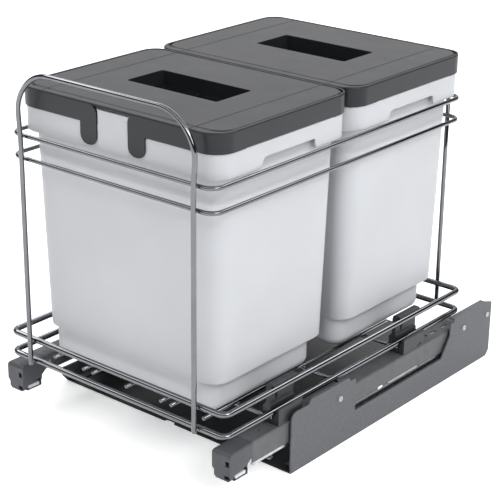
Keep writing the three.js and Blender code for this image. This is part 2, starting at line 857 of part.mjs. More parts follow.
const gridXs = [0, gridInner, gridInner + gridPairPitch, gridOuter];
const gridLine = wire(gridWire, gridRear - gridFront);
for (const x of gridXs) {
  const y = (gridFront + gridRear) / 2;
  const place = gridXs.indexOf(x);
  if (x === 0) {
    add(drawer, 'floor_wire_middle', gridLine, chrome, 0, y, gridZ);
  } else {
    add(drawer, `floor_wire_${place}_right`, gridLine, chrome, x, y, gridZ);
    add(drawer, `floor_wire_${place}_left`, gridLine, chrome, -x, y, gridZ);
  }
}
const crossLine = wire(gridWire, 2 * (basketHalfWidth + crossOverhang)).rotateZ(Math.PI / 2);
for (const [place, y] of [['front', crossFrontY], ['middle', crossMidY], ['rear', crossRearY]]) {
  add(drawer, `cross_wire_${place}`, crossLine, chrome, 0, y, crossZ);
}

// ---- Clips, drawn about the runner's centre line with +X outwards ----
function clip() {
  const wireX = basketHalfWidth - runnerX;
  const lowZ = lowerLoopZ - runnerTop;
  const highZ = lowZ + lowerLoopPitch;
  const outline = [
    [-clipInner, 0],
    [clipOuter, 0],
    [clipOuter, clipBlockTop - runnerTop],
    [-clipInner + clipPostWidth, clipBlockTop - runnerTop + 2],
    [-clipInner + clipPostWidth, clipHookTop - runnerTop - clipHookDepth],
    [wireX + clipHookOver, clipHookTop - runnerTop - clipHookDepth],
    [wireX + clipHookOver, clipHookTop - runnerTop],
    [-clipInner + clipPostWidth / 2, clipHookTop - runnerTop],
    [-clipInner, clipHookTop - runnerTop - clipPostWidth / 2],
  ];
  const radius = lowerWire / 2 + weldGap;
  return cut(
    barAlong(outline, 0, clipLength),
    rodY(radius, -1, clipLength + 1, wireX, lowZ),
    rodY(radius, -1, clipLength + 1, wireX, highZ),
  );
}

for (const [place, y] of [['front', clipFrontY], ['rear', clipRearY]]) {
  add(drawer, `basket_clip_${place}_right`, clip(), darkPlastic, runnerX, y, runnerTop);
  add(drawer, `basket_clip_${place}_left`, mirrorX(clip()), darkPlastic, -runnerX, y, runnerTop);
}

// ---- Bins ----

// A level ring inside the lid's outline, at an even inset unless its front edge has its own.
function insetRing(inset, z, corner, frontInset = inset) {
  const radius = Math.max(corner, 1);
  const halfWidth = binHalfWidth - inset;
  return roundedRing(-halfWidth, halfWidth, frontInset, binDepth - inset, radius, z);
}

function bin() {
  const shoulderLow = binRimShoulder - binWall;
  const skirtIn = binRimInset + binWall;
  const neckOut = lidWall + neckGap;
  const neckIn = neckOut + binWall;
  const bend = footEdge * (1 - Math.SQRT1_2);
  const innerFloor = binFloorZ + binWall;
  const footCorner = bodyCorner - 2;
  const rimCorner = binCorner - binRimInset;
  const rings = [
    insetRing(footInset + footEdge, binFloorZ, footCorner - footEdge),
    insetRing(footInset + bend, binFloorZ + bend, footCorner - bend),
    insetRing(footInset, binFloorZ + footEdge, footCorner),
    insetRing(footInset, footTop, footCorner),
    insetRing(bodyInsetLow + ledgeEdge, footTop, bodyCorner - ledgeEdge),
    insetRing(bodyInsetLow, footTop + ledgeEdge, bodyCorner),
    insetRing(bodyInsetHigh, shoulderLow, bodyCorner),
    insetRing(skirtIn, shoulderLow, rimCorner - binWall),
    insetRing(skirtIn, binRimFoot, rimCorner - binWall),
    insetRing(binRimInset, binRimFoot, rimCorner),
    insetRing(binRimInset, binRimShoulder, rimCorner),
    insetRing(neckOut, binRimShoulder, binCorner - neckOut),
    insetRing(neckOut, binRimTop, binCorner - neckOut),
    insetRing(neckIn, binRimTop, binCorner - neckIn),
    insetRing(neckIn, binRimShoulder, binCorner - neckIn),
    insetRing(bodyInsetHigh + binWall, binRimShoulder, bodyCorner - binWall),
    insetRing(bodyInsetLow + binWall, footTop + ledgeEdge + binWall, bodyCorner - binWall),
    insetRing(footInset + binWall, footTop + ledgeEdge + binWall, footCorner - binWall),
    insetRing(footInset + binWall, binFloorZ + footEdge, footCorner - binWall),
    insetRing(footInset + footEdge, innerFloor, footCorner - footEdge),
  ];
  const shell = loft(rings, false);
  const badge = block(-prongGapHalf + neckGap, prongGapHalf - neckGap, binRimInset - badgeRaise,
    neckOut + binWall / 2, badgeFoot, binRimTop);
  const cuts = [-1, 1].map((sign) => gripCut(sign));
  return cut(join(shell, badge), ...cuts);
}

// The finger slot in the rim's skirt, rounded at its two upper corners.
function gripCut(sign) {
  const y0 = (binDepth - gripLength) / 2 + gripRearward;
  const y1 = y0 + gripLength;
  const top = binRimFoot + gripHeight;
  const outline = [[y0, binRimFoot - 1], [y1, binRimFoot - 1]];
  for (const [centre, from] of [[y1 - gripCorner, 0], [y0 + gripCorner, Math.PI / 2]]) {
    for (let i = 0; i < cornerPoints; i += 1) {
      const angle = from + ((Math.PI / 2) * i) / (cornerPoints - 1);
      const y = centre + gripCorner * Math.cos(angle);
      outline.push([y, top - gripCorner + gripCorner * Math.sin(angle)]);
    }
  }
  const inner = binHalfWidth - binRimInset - binWall - 1;
  const outer = binHalfWidth + 1;
  return sign > 0 ? plateAcross(outline, inner, outer) : plateAcross(outline, -outer, -inner);
}

// ---- Lids ----

// The frame over the rim, open in the middle of its front edge, with a prong on each side.
function lidFrame() {
  const ledgeTop = lidTop - lidWall;
  const ledgeLow = ledgeTop - lidWall;
  const bevel = lidEdge * (1 - Math.SQRT1_2);
  const rings = [
    insetRing(0, lidFoot, binCorner),
    insetRing(0, lidTop - lidEdge, binCorner),
    insetRing(bevel, lidTop - bevel, binCorner - bevel),
    insetRing(lidEdge, lidTop, binCorner - lidEdge),
    insetRing(lidRingSide, lidTop, lidRingCorner, lidRingFront),
    insetRing(lidRingSide, ledgeTop, lidRingCorner, lidRingFront),
    insetRing(lidRingSide + lidLedge, ledgeTop, lidRingCorner - lidLedge, lidRingFront + lidLedge),
    insetRing(lidRingSide + lidLedge, ledgeLow, lidRingCorner - lidLedge, lidRingFront + lidLedge),
    insetRing(lidWall, ledgeLow, binCorner - lidWall),
    insetRing(lidWall, lidFoot, binCorner - lidWall),
  ];
  const ring = loft(rings, true);
  const prongs = [-1, 1].map((sign) => prong(sign));
  return join(cut(ring, frontNotch()), ...prongs);
}

// The gap between the prongs, which flares where it meets the top.
function frontNotch() {
  const roof = lidTop - lidWall;
  const outline = [
    [-prongGapHalf, lidFoot - 1],
    [prongGapHalf, lidFoot - 1],
  ];
  for (const sign of [1, -1]) {
    for (let i = 0; i < cornerPoints; i += 1) {
      const step = sign > 0 ? i : cornerPoints - 1 - i;
      const angle = ((Math.PI / 2) * step) / (cornerPoints - 1);
      const out = prongCorner * (1 - Math.cos(angle));
      outline.push([sign * (prongGapHalf + out), roof - prongCorner + prongCorner * Math.sin(angle)]);
    }
  }
  return barAlong(outline, -1, lidWall);
}

function prong(sign) {
  const inner = prongGapHalf;
  const outer = prongGapHalf + prongWidth;
  const low = prongFoot + prongCorner;
  const outline = [];
  for (const [centre, from] of [[inner + prongCorner, Math.PI], [outer - prongCorner, 1.5 * Math.PI]]) {
    for (let i = 0; i < cornerPoints; i += 1) {
      const angle = from + ((Math.PI / 2) * i) / (cornerPoints - 1);
      outline.push([centre + prongCorner * Math.cos(angle), low + prongCorner * Math.sin(angle)]);
    }
  }
  outline.push([outer, lidFoot + lidWall]);
  outline.push([inner, lidFoot + lidWall]);
  const geometry = barAlong(outline, 0, prongThickness);
  return sign > 0 ? geometry : mirrorX(geometry);
}

// The flat panel that lies in the frame, with the throw-in opening and its chute.
function lidPanel() {
  const low = lidTop - lidWall + seatGap;
  const out = lidRingSide + panelGap;
  const front = lidRingFront + panelGap;
  const opening = (grow, z) => roundedRing(
    -openingHalfWidth - grow, openingHalfWidth + grow,
    openingFront - grow, openingFront + openingDepth + grow, openingCorner + grow, z,
  );
  const rings = [
    insetRing(out, low, panelCorner, front),
    insetRing(out, lidTop - panelEdge / 2, panelCorner, front),
    insetRing(out + panelEdge, lidTop, panelCorner - panelEdge, front + panelEdge),
    opening(0, lidTop),
    opening(0, lidTop - chuteDepth),
    opening(chuteWall, lidTop - chuteDepth),
    opening(chuteWall, low),
  ];
  return loft(rings, true);
}

const binGeometry = bin();
const frameGeometry = lidFrame();
const panelGeometry = lidPanel();
for (const [place, y] of [['front', binFront], ['rear', binFront + binPitch]]) {
  add(drawer, `bin_${place}`, binGeometry, binPlastic, 0, y);
  add(drawer, `lid_frame_${place}`, frameGeometry, lidPlastic, 0, y);
  add(drawer, `lid_panel_${place}`, panelGeometry, lidPlastic, 0, y);
}

export default unit;
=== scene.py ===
"""The looks of the pull-out waste unit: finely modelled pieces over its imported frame."""

import json
import math

import bmesh
import bpy
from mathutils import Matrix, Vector, noise

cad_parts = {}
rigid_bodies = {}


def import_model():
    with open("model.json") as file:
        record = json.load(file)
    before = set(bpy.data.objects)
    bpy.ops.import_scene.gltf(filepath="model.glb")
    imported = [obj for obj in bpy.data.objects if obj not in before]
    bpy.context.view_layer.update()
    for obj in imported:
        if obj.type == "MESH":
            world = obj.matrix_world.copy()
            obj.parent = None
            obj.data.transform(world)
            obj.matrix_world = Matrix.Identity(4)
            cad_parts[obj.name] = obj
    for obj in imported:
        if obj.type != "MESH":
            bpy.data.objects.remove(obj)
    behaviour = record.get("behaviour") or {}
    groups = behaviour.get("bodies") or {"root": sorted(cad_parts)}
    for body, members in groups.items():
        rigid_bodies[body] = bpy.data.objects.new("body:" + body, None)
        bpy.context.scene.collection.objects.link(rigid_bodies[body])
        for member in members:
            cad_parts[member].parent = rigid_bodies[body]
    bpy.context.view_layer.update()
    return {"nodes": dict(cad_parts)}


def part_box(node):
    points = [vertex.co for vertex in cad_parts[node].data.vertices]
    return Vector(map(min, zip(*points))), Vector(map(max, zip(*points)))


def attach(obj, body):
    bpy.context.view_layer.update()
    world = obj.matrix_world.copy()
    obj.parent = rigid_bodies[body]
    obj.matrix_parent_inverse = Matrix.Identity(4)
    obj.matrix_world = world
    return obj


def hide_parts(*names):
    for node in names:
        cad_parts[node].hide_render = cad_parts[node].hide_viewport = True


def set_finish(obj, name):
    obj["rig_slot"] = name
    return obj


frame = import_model()

MM = 0.001
LOWER_WIRE = 7.0
BASE_FRONT = 97.0
# Sizes are in millimetres, and depths run back from the front run of the lower wire loops. This takes them to
# the frame's origin.
FRONT_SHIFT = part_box("base_plate")[0].y / MM - BASE_FRONT

# ---- Sizes shared by several pieces ----
RUNNER_X = 161.5
RUNNER_TOP = 64.0
BASE_HALF = 178.5
SHEET = 1.8
BASE_REAR = 511.0
BASKET_HALF = 165.0
BASKET_REAR = 452.0
BASKET_CORNER = 10.0
LOWER_LOOPS = (79.6, 105.6)
MID_HALF = 149.5
MID_FRONT = -1.0
MID_REAR = 453.0
MID_CORNER = 14.0
MID_LOOPS = (326.7, 353.2)
MID_WIRE = 5.0
ARCH_Y = -6.7
ARCH_HALF = 127.5
REAR_Y = 458.5
REAR_HALF = 128.0
REAR_WIRE = 5.4
ARCH_WIRE = 5.8
GRID_WIRE = 4.5
GRID_Z = 78.35
CROSS_Z = 73.55
BIN_HALF = 149.0
BIN_DEPTH = 225.0
BIN_STARTS = {"front": 7.5, "rear": 234.0}
BIN_FLOOR = 80.9
LID_TOP = 407.3
PRONG_GAP = 23.0


def at(x, y, z):
    return Vector((x * MM, (y + FRONT_SHIFT) * MM, z * MM))


def on_side(sign, x0=RUNNER_X):
    """Places a piece drawn about x0 with +x outwards, on the right (1) or the left (-1)."""
    return lambda x, y, z: at(sign * (x0 + x), y, z)


# ---- Mesh helpers ----
def closed(name, verts, faces):
    mesh = bpy.data.meshes.new(name)
    mesh.from_pydata([tuple(v) for v in verts], [], faces)
    obj = bpy.data.objects.new(name, mesh)
    bpy.context.scene.collection.objects.link(obj)
    tidy_normals(obj)
    return obj


def tidy_normals(obj):
    bm = bmesh.new()
    bm.from_mesh(obj.data)
    bmesh.ops.recalc_face_normals(bm, faces=bm.faces)
    bm.to_mesh(obj.data)
    bm.free()


def bake(obj):
    bpy.context.view_layer.update()
    graph = bpy.context.evaluated_depsgraph_get()
    mesh = bpy.data.meshes.new_from_object(
        obj.evaluated_get(graph), preserve_all_data_layers=True, depsgraph=graph)
    obj.modifiers.clear()
    old = obj.data
    obj.data = mesh
    bpy.data.meshes.remove(old)
    mesh.name = obj.name
    return obj


def combine(obj, others, operation="DIFFERENCE"):
    for other in others:
        change = obj.modifiers.new("shape", "BOOLEAN")
        change.solver = "EXACT"
        change.operation = operation
        change.object = other
    bake(obj)
    for other in others:
        mesh = other.data
        bpy.data.objects.remove(other)
        bpy.data.meshes.remove(mesh)
    return obj


def gather(name, objs):
    """One object of several, with none of them cut."""
    bm = bmesh.new()
    for obj in objs:
        bm.from_mesh(obj.data)
        mesh = obj.data
        bpy.data.objects.remove(obj)
        bpy.data.meshes.remove(mesh)
    mesh = bpy.data.meshes.new(name)
    bm.to_mesh(mesh)
    bm.free()
    whole = bpy.data.objects.new(name, mesh)
    bpy.context.scene.collection.objects.link(whole)
    return whole


def soften(obj, width, segments=3, degrees=32):
    """Rounds every sharp edge."""
    change = obj.modifiers.new("edges", "BEVEL")
    change.width = width * MM
    change.segments = segments
    change.limit_method = "ANGLE"
    change.angle_limit = math.radians(degrees)
    change.miter_outer = "MITER_ARC"
    return bake(obj)


def smooth(obj, degrees=36):
    obj.data.shade_smooth()
    obj.data.set_sharp_from_angle(angle=math.radians(degrees))
    change = obj.modifiers.new("even", "WEIGHTED_NORMAL")
    change.keep_sharp = True
    change.weight = 50
    return bake(obj)


LIFT = {
    "x": lambda p, d: (d, p[0], p[1]),
    "y": lambda p, d: (p[0], d, p[1]),
    "z": lambda p, d: (p[0], p[1], d),
}


def prism(name, outline, axis, a, b, place=at):
    count = len(outline)
    verts = [place(*LIFT[axis](p, d)) for d in (a, b) for p in outline]
    faces = [tuple(reversed(range(count))), tuple(range(count, 2 * count))]
    faces += [(i, (i + 1) % count, count + (i + 1) % count, count + i) for i in range(count)]
    return closed(name, verts, faces)


def slab(name, x, y, z, place=at):
    return prism(name, [(x[0], y[0]), (x[1], y[0]), (x[1], y[1]), (x[0], y[1])], "z", z[0], z[1], place)


def rounded(points, steps=6):
    """An outline of (a, b, radius) corners, each turned in an arc."""
    out = []
    count = len(points)
    for i, (a, b, radius) in enumerate(points):
        corner = Vector((a, b))
        if radius <= 0:
            out.append((a, b))
            continue
        before = Vector(points[i - 1][:2]) - corner
        after = Vector(points[(i + 1) % count][:2]) - corner
        u, v = before.normalized(), after.normalized()
        half = u.angle(v) / 2
        reach = min(radius / math.tan(half), 0.49 * min(before.length, after.length))
        radius = reach * math.tan(half)
        centre = corner + (u + v).normalized() * radius / math.sin(half)
        first = corner + u * reach - centre
        last = corner + v * reach - centre
        start = math.atan2(first.y, first.x)
        turn = (math.atan2(last.y, last.x) - start + math.pi) % (2 * math.pi) - math.pi
        for k in range(steps + 1):
            angle = start + turn * k / steps
            out.append((centre.x + radius * math.cos(angle), centre.y + radius * math.sin(angle)))
    return out


def circle(a, b, radius, count=28):
    turns = [2 * math.pi * i / count for i in range(count)]
    return [(a + radius * math.cos(t), b + radius * math.sin(t)) for t in turns]


def ring(x0, x1, y0, y1, radius, z, steps=10):
    points = []
    corners = (
        (x1 - radius, y0 + radius, -90),
        (x1 - radius, y1 - radius, 0),
        (x0 + radius, y1 - radius, 90),
        (x0 + radius, y0 + radius, 180),
    )
    for cx, cy, start in corners:
        for i in range(steps):
            angle = math.radians(start + 90 * i / (steps - 1))
            points.append((cx + radius * math.cos(angle), cy + radius * math.sin(angle), z))
    return points


def loft(name, rings, wrap, place=at):
    """A skin over rings of equal counts, closed on itself (wrap) or capped."""
    count = len(rings[0])
    verts = [place(*p) for r in rings for p in r]
    faces = []
    for r in range(len(rings) if wrap else len(rings) - 1):
        low = r * count
        high = ((r + 1) % len(rings)) * count
        for i in range(count):
            j = (i + 1) % count
            faces.append((low + i, low + j, high + j, high + i))
    if not wrap:
        last = (len(rings) - 1) * count
        faces.append(tuple(reversed(range(count))))
        faces.append(tuple(last + i for i in range(count)))
    return closed(name, verts, faces)


def arc(ci, cz, radius, start, end, steps=5):
    """(inset, z) points on an arc, its angles in degrees from the inward side upwards."""
    turns = [math.radians(start + (end - start) * k / steps) for k in range(steps + 1)]
    return [(ci + radius * math.cos(t), cz + radius * math.sin(t)) for t in turns]


def lathe(name, profile, centre, axis, place=at, count=28):
    """A round piece from (radius, along) points, closed at both ends."""
    rings = []
    for radius, along in profile:
        circled = circle(0, 0, max(radius, 0.001), count)
        rings.append([tuple(Vector(centre) + Vector(LIFT[axis](p, along))) for p in circled])
    return loft(name, rings, False, place)


def tube(name, points, radius, up, wrap=False, sides=20, place=at):
    """A wire of even thickness along points that lie in one plane, up being that plane's normal."""
    up = Vector(up).normalized()
    path = [Vector(p) for p in points]
    count = len(path)
    rings = []
    for i, p in enumerate(path):
        before = path[i - 1] if i or wrap else p
        after = path[(i + 1) % count] if i < count - 1 or wrap else p
        side = (after - before).normalized().cross(up)
        turns = [2 * math.pi * k / sides for k in range(sides)]
        rings.append([tuple(p + (side * math.cos(t) + up * math.sin(t)) * radius) for t in turns])
    if not wrap:
        ends = []
        for i, (inner, outer) in ((0, (1, 0)), (-1, (-2, -1))):
            out = (path[outer] - path[inner]).normalized()
            hub = path[i]
            near = [tuple(hub + (Vector(q) - hub) * 0.72 + out * radius * 0.2) for q in rings[i]]
            far = [tuple(hub + (Vector(q) - hub) * 0.3 + out * radius * 0.28) for q in rings[i]]
            ends.append((near, far))
        rings = [ends[0][1], ends[0][0]] + rings + [ends[1][0], ends[1][1]]
    return loft(name, rings, wrap, place)


# ---- Materials ----
def linear(value):
    value /= 255.0
    return value / 12.92 if value <= 0.04045 else ((value + 0.055) / 1.055) ** 2.4


def tone(r, g, b):
    return (linear(r), linear(g), linear(b), 1.0)


def material(name, dark, light, rough, metallic=0.0, spread=60.0, grain=900.0, bump=0.1, depth=0.00005,
             specular=0.5, coat=0.0):
    """A moulded, painted or plated finish: drifting tone, uneven gloss and a fine grain."""
    made = bpy.data.materials.new(name)
    made.use_nodes = True
    tree = made.node_tree
    shader = tree.nodes["Principled BSDF"]
    shader.inputs["Metallic"].default_value = metallic
    shader.inputs["Specular IOR Level"].default_value = specular
    shader.inputs["Coat Weight"].default_value = coat
    where = tree.nodes.new("ShaderNodeTexCoord")

    def field(scale, detail):
        node = tree.nodes.new("ShaderNodeTexNoise")
        node.inputs["Scale"].default_value = scale
        node.inputs["Detail"].default_value = detail
        tree.links.new(where.outputs["Object"], node.inputs["Vector"])
        return node.outputs["Fac"]

    ramp = tree.nodes.new("ShaderNodeValToRGB")
    ramp.color_ramp.elements[0].position = 0.3
    ramp.color_ramp.elements[0].color = dark
    ramp.color_ramp.elements[1].position = 0.7
    ramp.color_ramp.elements[1].color = light
    tree.links.new(field(spread, 3.0), ramp.inputs["Fac"])
    tree.links.new(ramp.outputs["Color"], shader.inputs["Base Color"])
    gloss = tree.nodes.new("ShaderNodeMapRange")
    gloss.inputs["To Min"].default_value = rough[0]
    gloss.inputs["To Max"].default_value = rough[1]
    tree.links.new(field(spread * 2.5, 2.0), gloss.inputs["Value"])
    tree.links.new(gloss.outputs["Result"], shader.inputs["Roughness"])
    relief = tree.nodes.new("ShaderNodeBump")
    relief.inputs["Strength"].default_value = bump
    relief.inputs["Distance"].default_value = depth
    tree.links.new(field(grain, 2.0), relief.inputs["Height"])
    tree.links.new(relief.outputs["Normal"], shader.inputs["Normal"])
    return made


FINISH = {
    # The chrome's base colour is far darker than plated steel: painted shade standing in for the dark
    # surroundings the wires reflect; the lamps overhead still draw white lines in them.
    "chrome_wire": material("chrome", tone(108, 110, 113), tone(118, 120, 123), (0.05, 0.1), metallic=1.0,
                            spread=25.0, grain=140.0, bump=0.06, depth=0.0001),
    "bin_plastic": material("bin_grey", tone(176, 178, 182), tone(182, 184, 188), (0.4, 0.5), spread=9.0,
                            grain=1500.0, bump=0.12),
    "lid_plastic": material("lid_grey", tone(28, 30, 34), tone(33, 35, 39), (0.34, 0.42), spread=12.0,
                            grain=1500.0, bump=0.16, specular=0.32),
    # This near-black tone is the base plate's dark paint with painted shade from the bins above it added in;
    # the runner covers share the base_coat slot but take the lighter cover_coat tone.
    "base_coat": material("anthracite_coat_and_painted_shade", tone(27, 28, 31), tone(34, 35, 38), (0.42, 0.56), spread=80.0,
                          grain=1100.0, bump=0.35, specular=0.3),
    "cover_coat": material("cover_coat", tone(74, 76, 78), tone(83, 85, 87), (0.42, 0.56), spread=80.0,
                           grain=1100.0, bump=0.35),
    "bracket_coat": material("grey_texture_coat", tone(70, 72, 76), tone(90, 92, 96), (0.5, 0.64),
                             spread=420.0, grain=1200.0, bump=0.6, depth=0.00012),
    "zinc": material("zinc_plate", tone(176, 180, 183), tone(198, 201, 204), (0.22, 0.38), metallic=1.0,
                     spread=160.0, grain=700.0, bump=0.12),
    "white_plastic": material("white_plastic", tone(236, 236, 233), tone(242, 242, 240), (0.35, 0.45),
                              spread=60.0, grain=900.0),
    "fixing_plastic": material("fixing_plastic", tone(158, 160, 162), tone(186, 188, 190), (0.35, 0.45),
                               spread=260.0, grain=900.0, bump=0.3),
    "cap_plastic": material("cap_grey", tone(60, 62, 66), tone(68, 70, 74), (0.42, 0.54), spread=50.0,
                            grain=1500.0, bump=0.22),
    "dark_plastic": material("dark_plastic", tone(35, 37, 40), tone(42, 44, 47), (0.4, 0.52), spread=50.0,
                             grain=1500.0, bump=0.2),
    "pad_plastic": material("pad_grey", tone(190, 192, 194), tone(199, 201, 203), (0.4, 0.5), spread=50.0,
                            grain=1200.0),
}


def dress(obj, body, nodes, slot, degrees=36, even=True, finish=None):
    """Finishes a piece: shading, material, the body that carries it and the node it stands for."""
    if even:
        smooth(obj, degrees)
    obj.data.materials.clear()
    obj.data.materials.append(FINISH[finish or slot])
    for polygon in obj.data.polygons:
        polygon.material_index = 0
    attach(obj, body)
    if nodes:
        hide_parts(*nodes)
    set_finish(obj, slot)
    return obj


# ---- Bins ----
FOOT_INSET, FOOT_TOP, FOOT_CORNER, FOOT_EDGE = 26.0, 119.0, 20.0, 11.0
FOOT_FRONT = 15.9
BODY_LOW, BODY_HIGH, BODY_CORNER = 15.5, 9.7, 22.0
RIM_INSET, RIM_FOOT, RIM_SHOULDER, RIM_TOP = 1.9, 356.0, 384.3, 402.0
LID_CORNER = 25.0
WALL = 2.2
NECK = 2.7
GRIP_LENGTH, GRIP_HEIGHT, GRIP_REARWARD = 89.0, 11.0, 4.0
GRIP_START = (BIN_DEPTH - GRIP_LENGTH) / 2 + GRIP_REARWARD
GRIP_ROLL = 1.3
SHIELD_DEPTH, SHIELD_HEIGHT = (1.5, 3.6), (357.0, 401.5)


def inset_ring(start, inset, z, corner, front=None):
    """A rounded ring this far inside a bin's outline, at its front by another amount where one is given."""
    front = inset if front is None else front
    half = BIN_HALF - inset
    return ring(-half, half, start + front, start + BIN_DEPTH - inset, max(corner, 0.8), z)


def foot_front(inset):
    """How far in the front face is where the sides are this far in: the foot's front is almost flush."""
    if inset > FOOT_INSET:
        return FOOT_FRONT + inset - FOOT_INSET
    return BODY_LOW + (inset - BODY_LOW) * (FOOT_FRONT - BODY_LOW) / (FOOT_INSET - BODY_LOW)


def bin_profile():
    """(inset, z, corner radius, front inset) from the foot, up outside, over the rim and down inside."""
    bend = FOOT_EDGE
    out = []
    for a, z in arc(FOOT_INSET + bend, BIN_FLOOR + bend, bend, -90, -180, 8):
        out.append((a, z, FOOT_CORNER - (a - FOOT_INSET), foot_front(a)))
    fillet, lip = 1.2, 1.6
    for a, z in arc(FOOT_INSET - fillet, FOOT_TOP - fillet, fillet, 0, 90, 4):
        out.append((a, z, FOOT_CORNER, foot_front(a)))
    for a, z in arc(BODY_LOW + lip, FOOT_TOP + lip, lip, -90, -180, 5):
        out.append((a, z, BODY_CORNER - (a - BODY_LOW), foot_front(a)))
    under = RIM_SHOULDER - WALL
    out.append((BODY_HIGH, under - 0.8, BODY_CORNER, None))
    out.append((BODY_HIGH - 0.8, under, BODY_CORNER, None))
    inner = RIM_INSET + WALL
    out.append((inner, under, LID_CORNER - inner, None))
    half = WALL / 2
    for a, z in arc(RIM_INSET + half, RIM_FOOT + half, half, 0, -180, 8):
        out.append((a, z, LID_CORNER - a, None))
    edge = 0.6
    for a, z in arc(RIM_INSET + edge, RIM_SHOULDER - edge, edge, 180, 90, 3):
        out.append((a, z, LID_CORNER - a, None))
    out.append((NECK, RIM_SHOULDER, LID_CORNER - NECK, None))
    for a, z in arc(NECK + half, RIM_TOP - half, half, 180, 0, 6):
        out.append((a, z, LID_CORNER - a, None))
    out.append((NECK + WALL, RIM_SHOULDER, LID_CORNER - NECK - WALL, None))
    out.append((BODY_HIGH + WALL, RIM_SHOULDER - 1.0, BODY_CORNER - WALL, None))
    ledge = FOOT_TOP + 3.7
    out.append((BODY_LOW + WALL, ledge + 1.0, BODY_CORNER - WALL, foot_front(BODY_LOW) + WALL))
    out.append((BODY_LOW + WALL + 1.0, ledge, BODY_CORNER - WALL, foot_front(BODY_LOW + 1.0) + WALL))
    out.append((FOOT_INSET + WALL, ledge - 0.5, FOOT_CORNER - WALL, foot_front(FOOT_INSET) + WALL))
    deep = bend - WALL
    for a, z in arc(FOOT_INSET + bend, BIN_FLOOR + bend, deep, 180, 270, 6):
        out.append((a, z, FOOT_CORNER - (a - FOOT_INSET), foot_front(a)))
    return out


def grip_cutter(name, start, sign):
    y0 = start + GRIP_START
    y1 = y0 + GRIP_LENGTH
    top = RIM_FOOT + GRIP_HEIGHT
    outline = rounded([(y0, RIM_FOOT - 2, 0), (y1, RIM_FOOT - 2, 0), (y1, top, 4.0), (y0, top, 9.5)], 8)
    inner = BIN_HALF - RIM_INSET - WALL - 1
    return prism(name, outline, "x", sign * inner, sign * (BIN_HALF + 1))


def round_grip_edges(obj, start):
    """Rolls the outer edge of each finger slot."""
    bm = bmesh.new()
    bm.from_mesh(obj.data)
    skin = (BIN_HALF - RIM_INSET) * MM
    margin = 10.0
    low = at(0, start + GRIP_START - margin, RIM_FOOT - 1)
    high = at(0, start + GRIP_START + GRIP_LENGTH + margin, RIM_FOOT + GRIP_HEIGHT + 1)
    chosen = []
    for edge in bm.edges:
        if len(edge.link_faces) != 2 or edge.calc_face_angle(0) < math.radians(50):
            continue
        if all(abs(abs(v.co.x) - skin) < 0.00005 and low.y < v.co.y < high.y and low.z < v.co.z < high.z
               for v in edge.verts):
            chosen.append(edge)
    bmesh.ops.bevel(bm, geom=chosen, offset=GRIP_ROLL * MM, segments=4, profile=0.5, affect="EDGES")
    bm.to_mesh(obj.data)
    bm.free()


def make_bin(place_name, start):
    rings = [inset_ring(start, a, z, corner, front) for a, z, corner, front in bin_profile()]
    shell = loft("bin_" + place_name + "_shell", rings, False)
    combine(shell, [grip_cutter("grip", start, sign) for sign in (-1, 1)])
    round_grip_edges(shell, start)
    near, far = SHIELD_DEPTH
    shield = slab("shield", (-PRONG_GAP + 0.5, PRONG_GAP - 0.5), (start + near, start + far), SHIELD_HEIGHT)
    soften(shield, 0.5, 3)
    whole = gather("bin_" + place_name + "_body", [shell, shield])
    return dress(whole, place_name + "_bin", ["bin_" + place_name], "bin_plastic", degrees=34)


# ---- Lids ----
LID_FOOT = 384.8
LID_EDGE = 1.9
RING_SIDE, RING_FRONT, RING_CORNER = 3.8, 10.0, 17.0
RING_ROLL = 1.7
LEDGE = 4.5
PANEL_GAP, PANEL_CORNER, PANEL_EDGE = 0.4, 21.0, 3.2
PRONG_WIDTH, PRONG_FOOT, PRONG_THICK, PRONG_CORNER = 24.5, 360.5, 1.4, 10.5
NOTCH_CORNER = 9.0
STEP_FRONT, STEP_REAR, STEP_RISE = 43, 33, 0.85


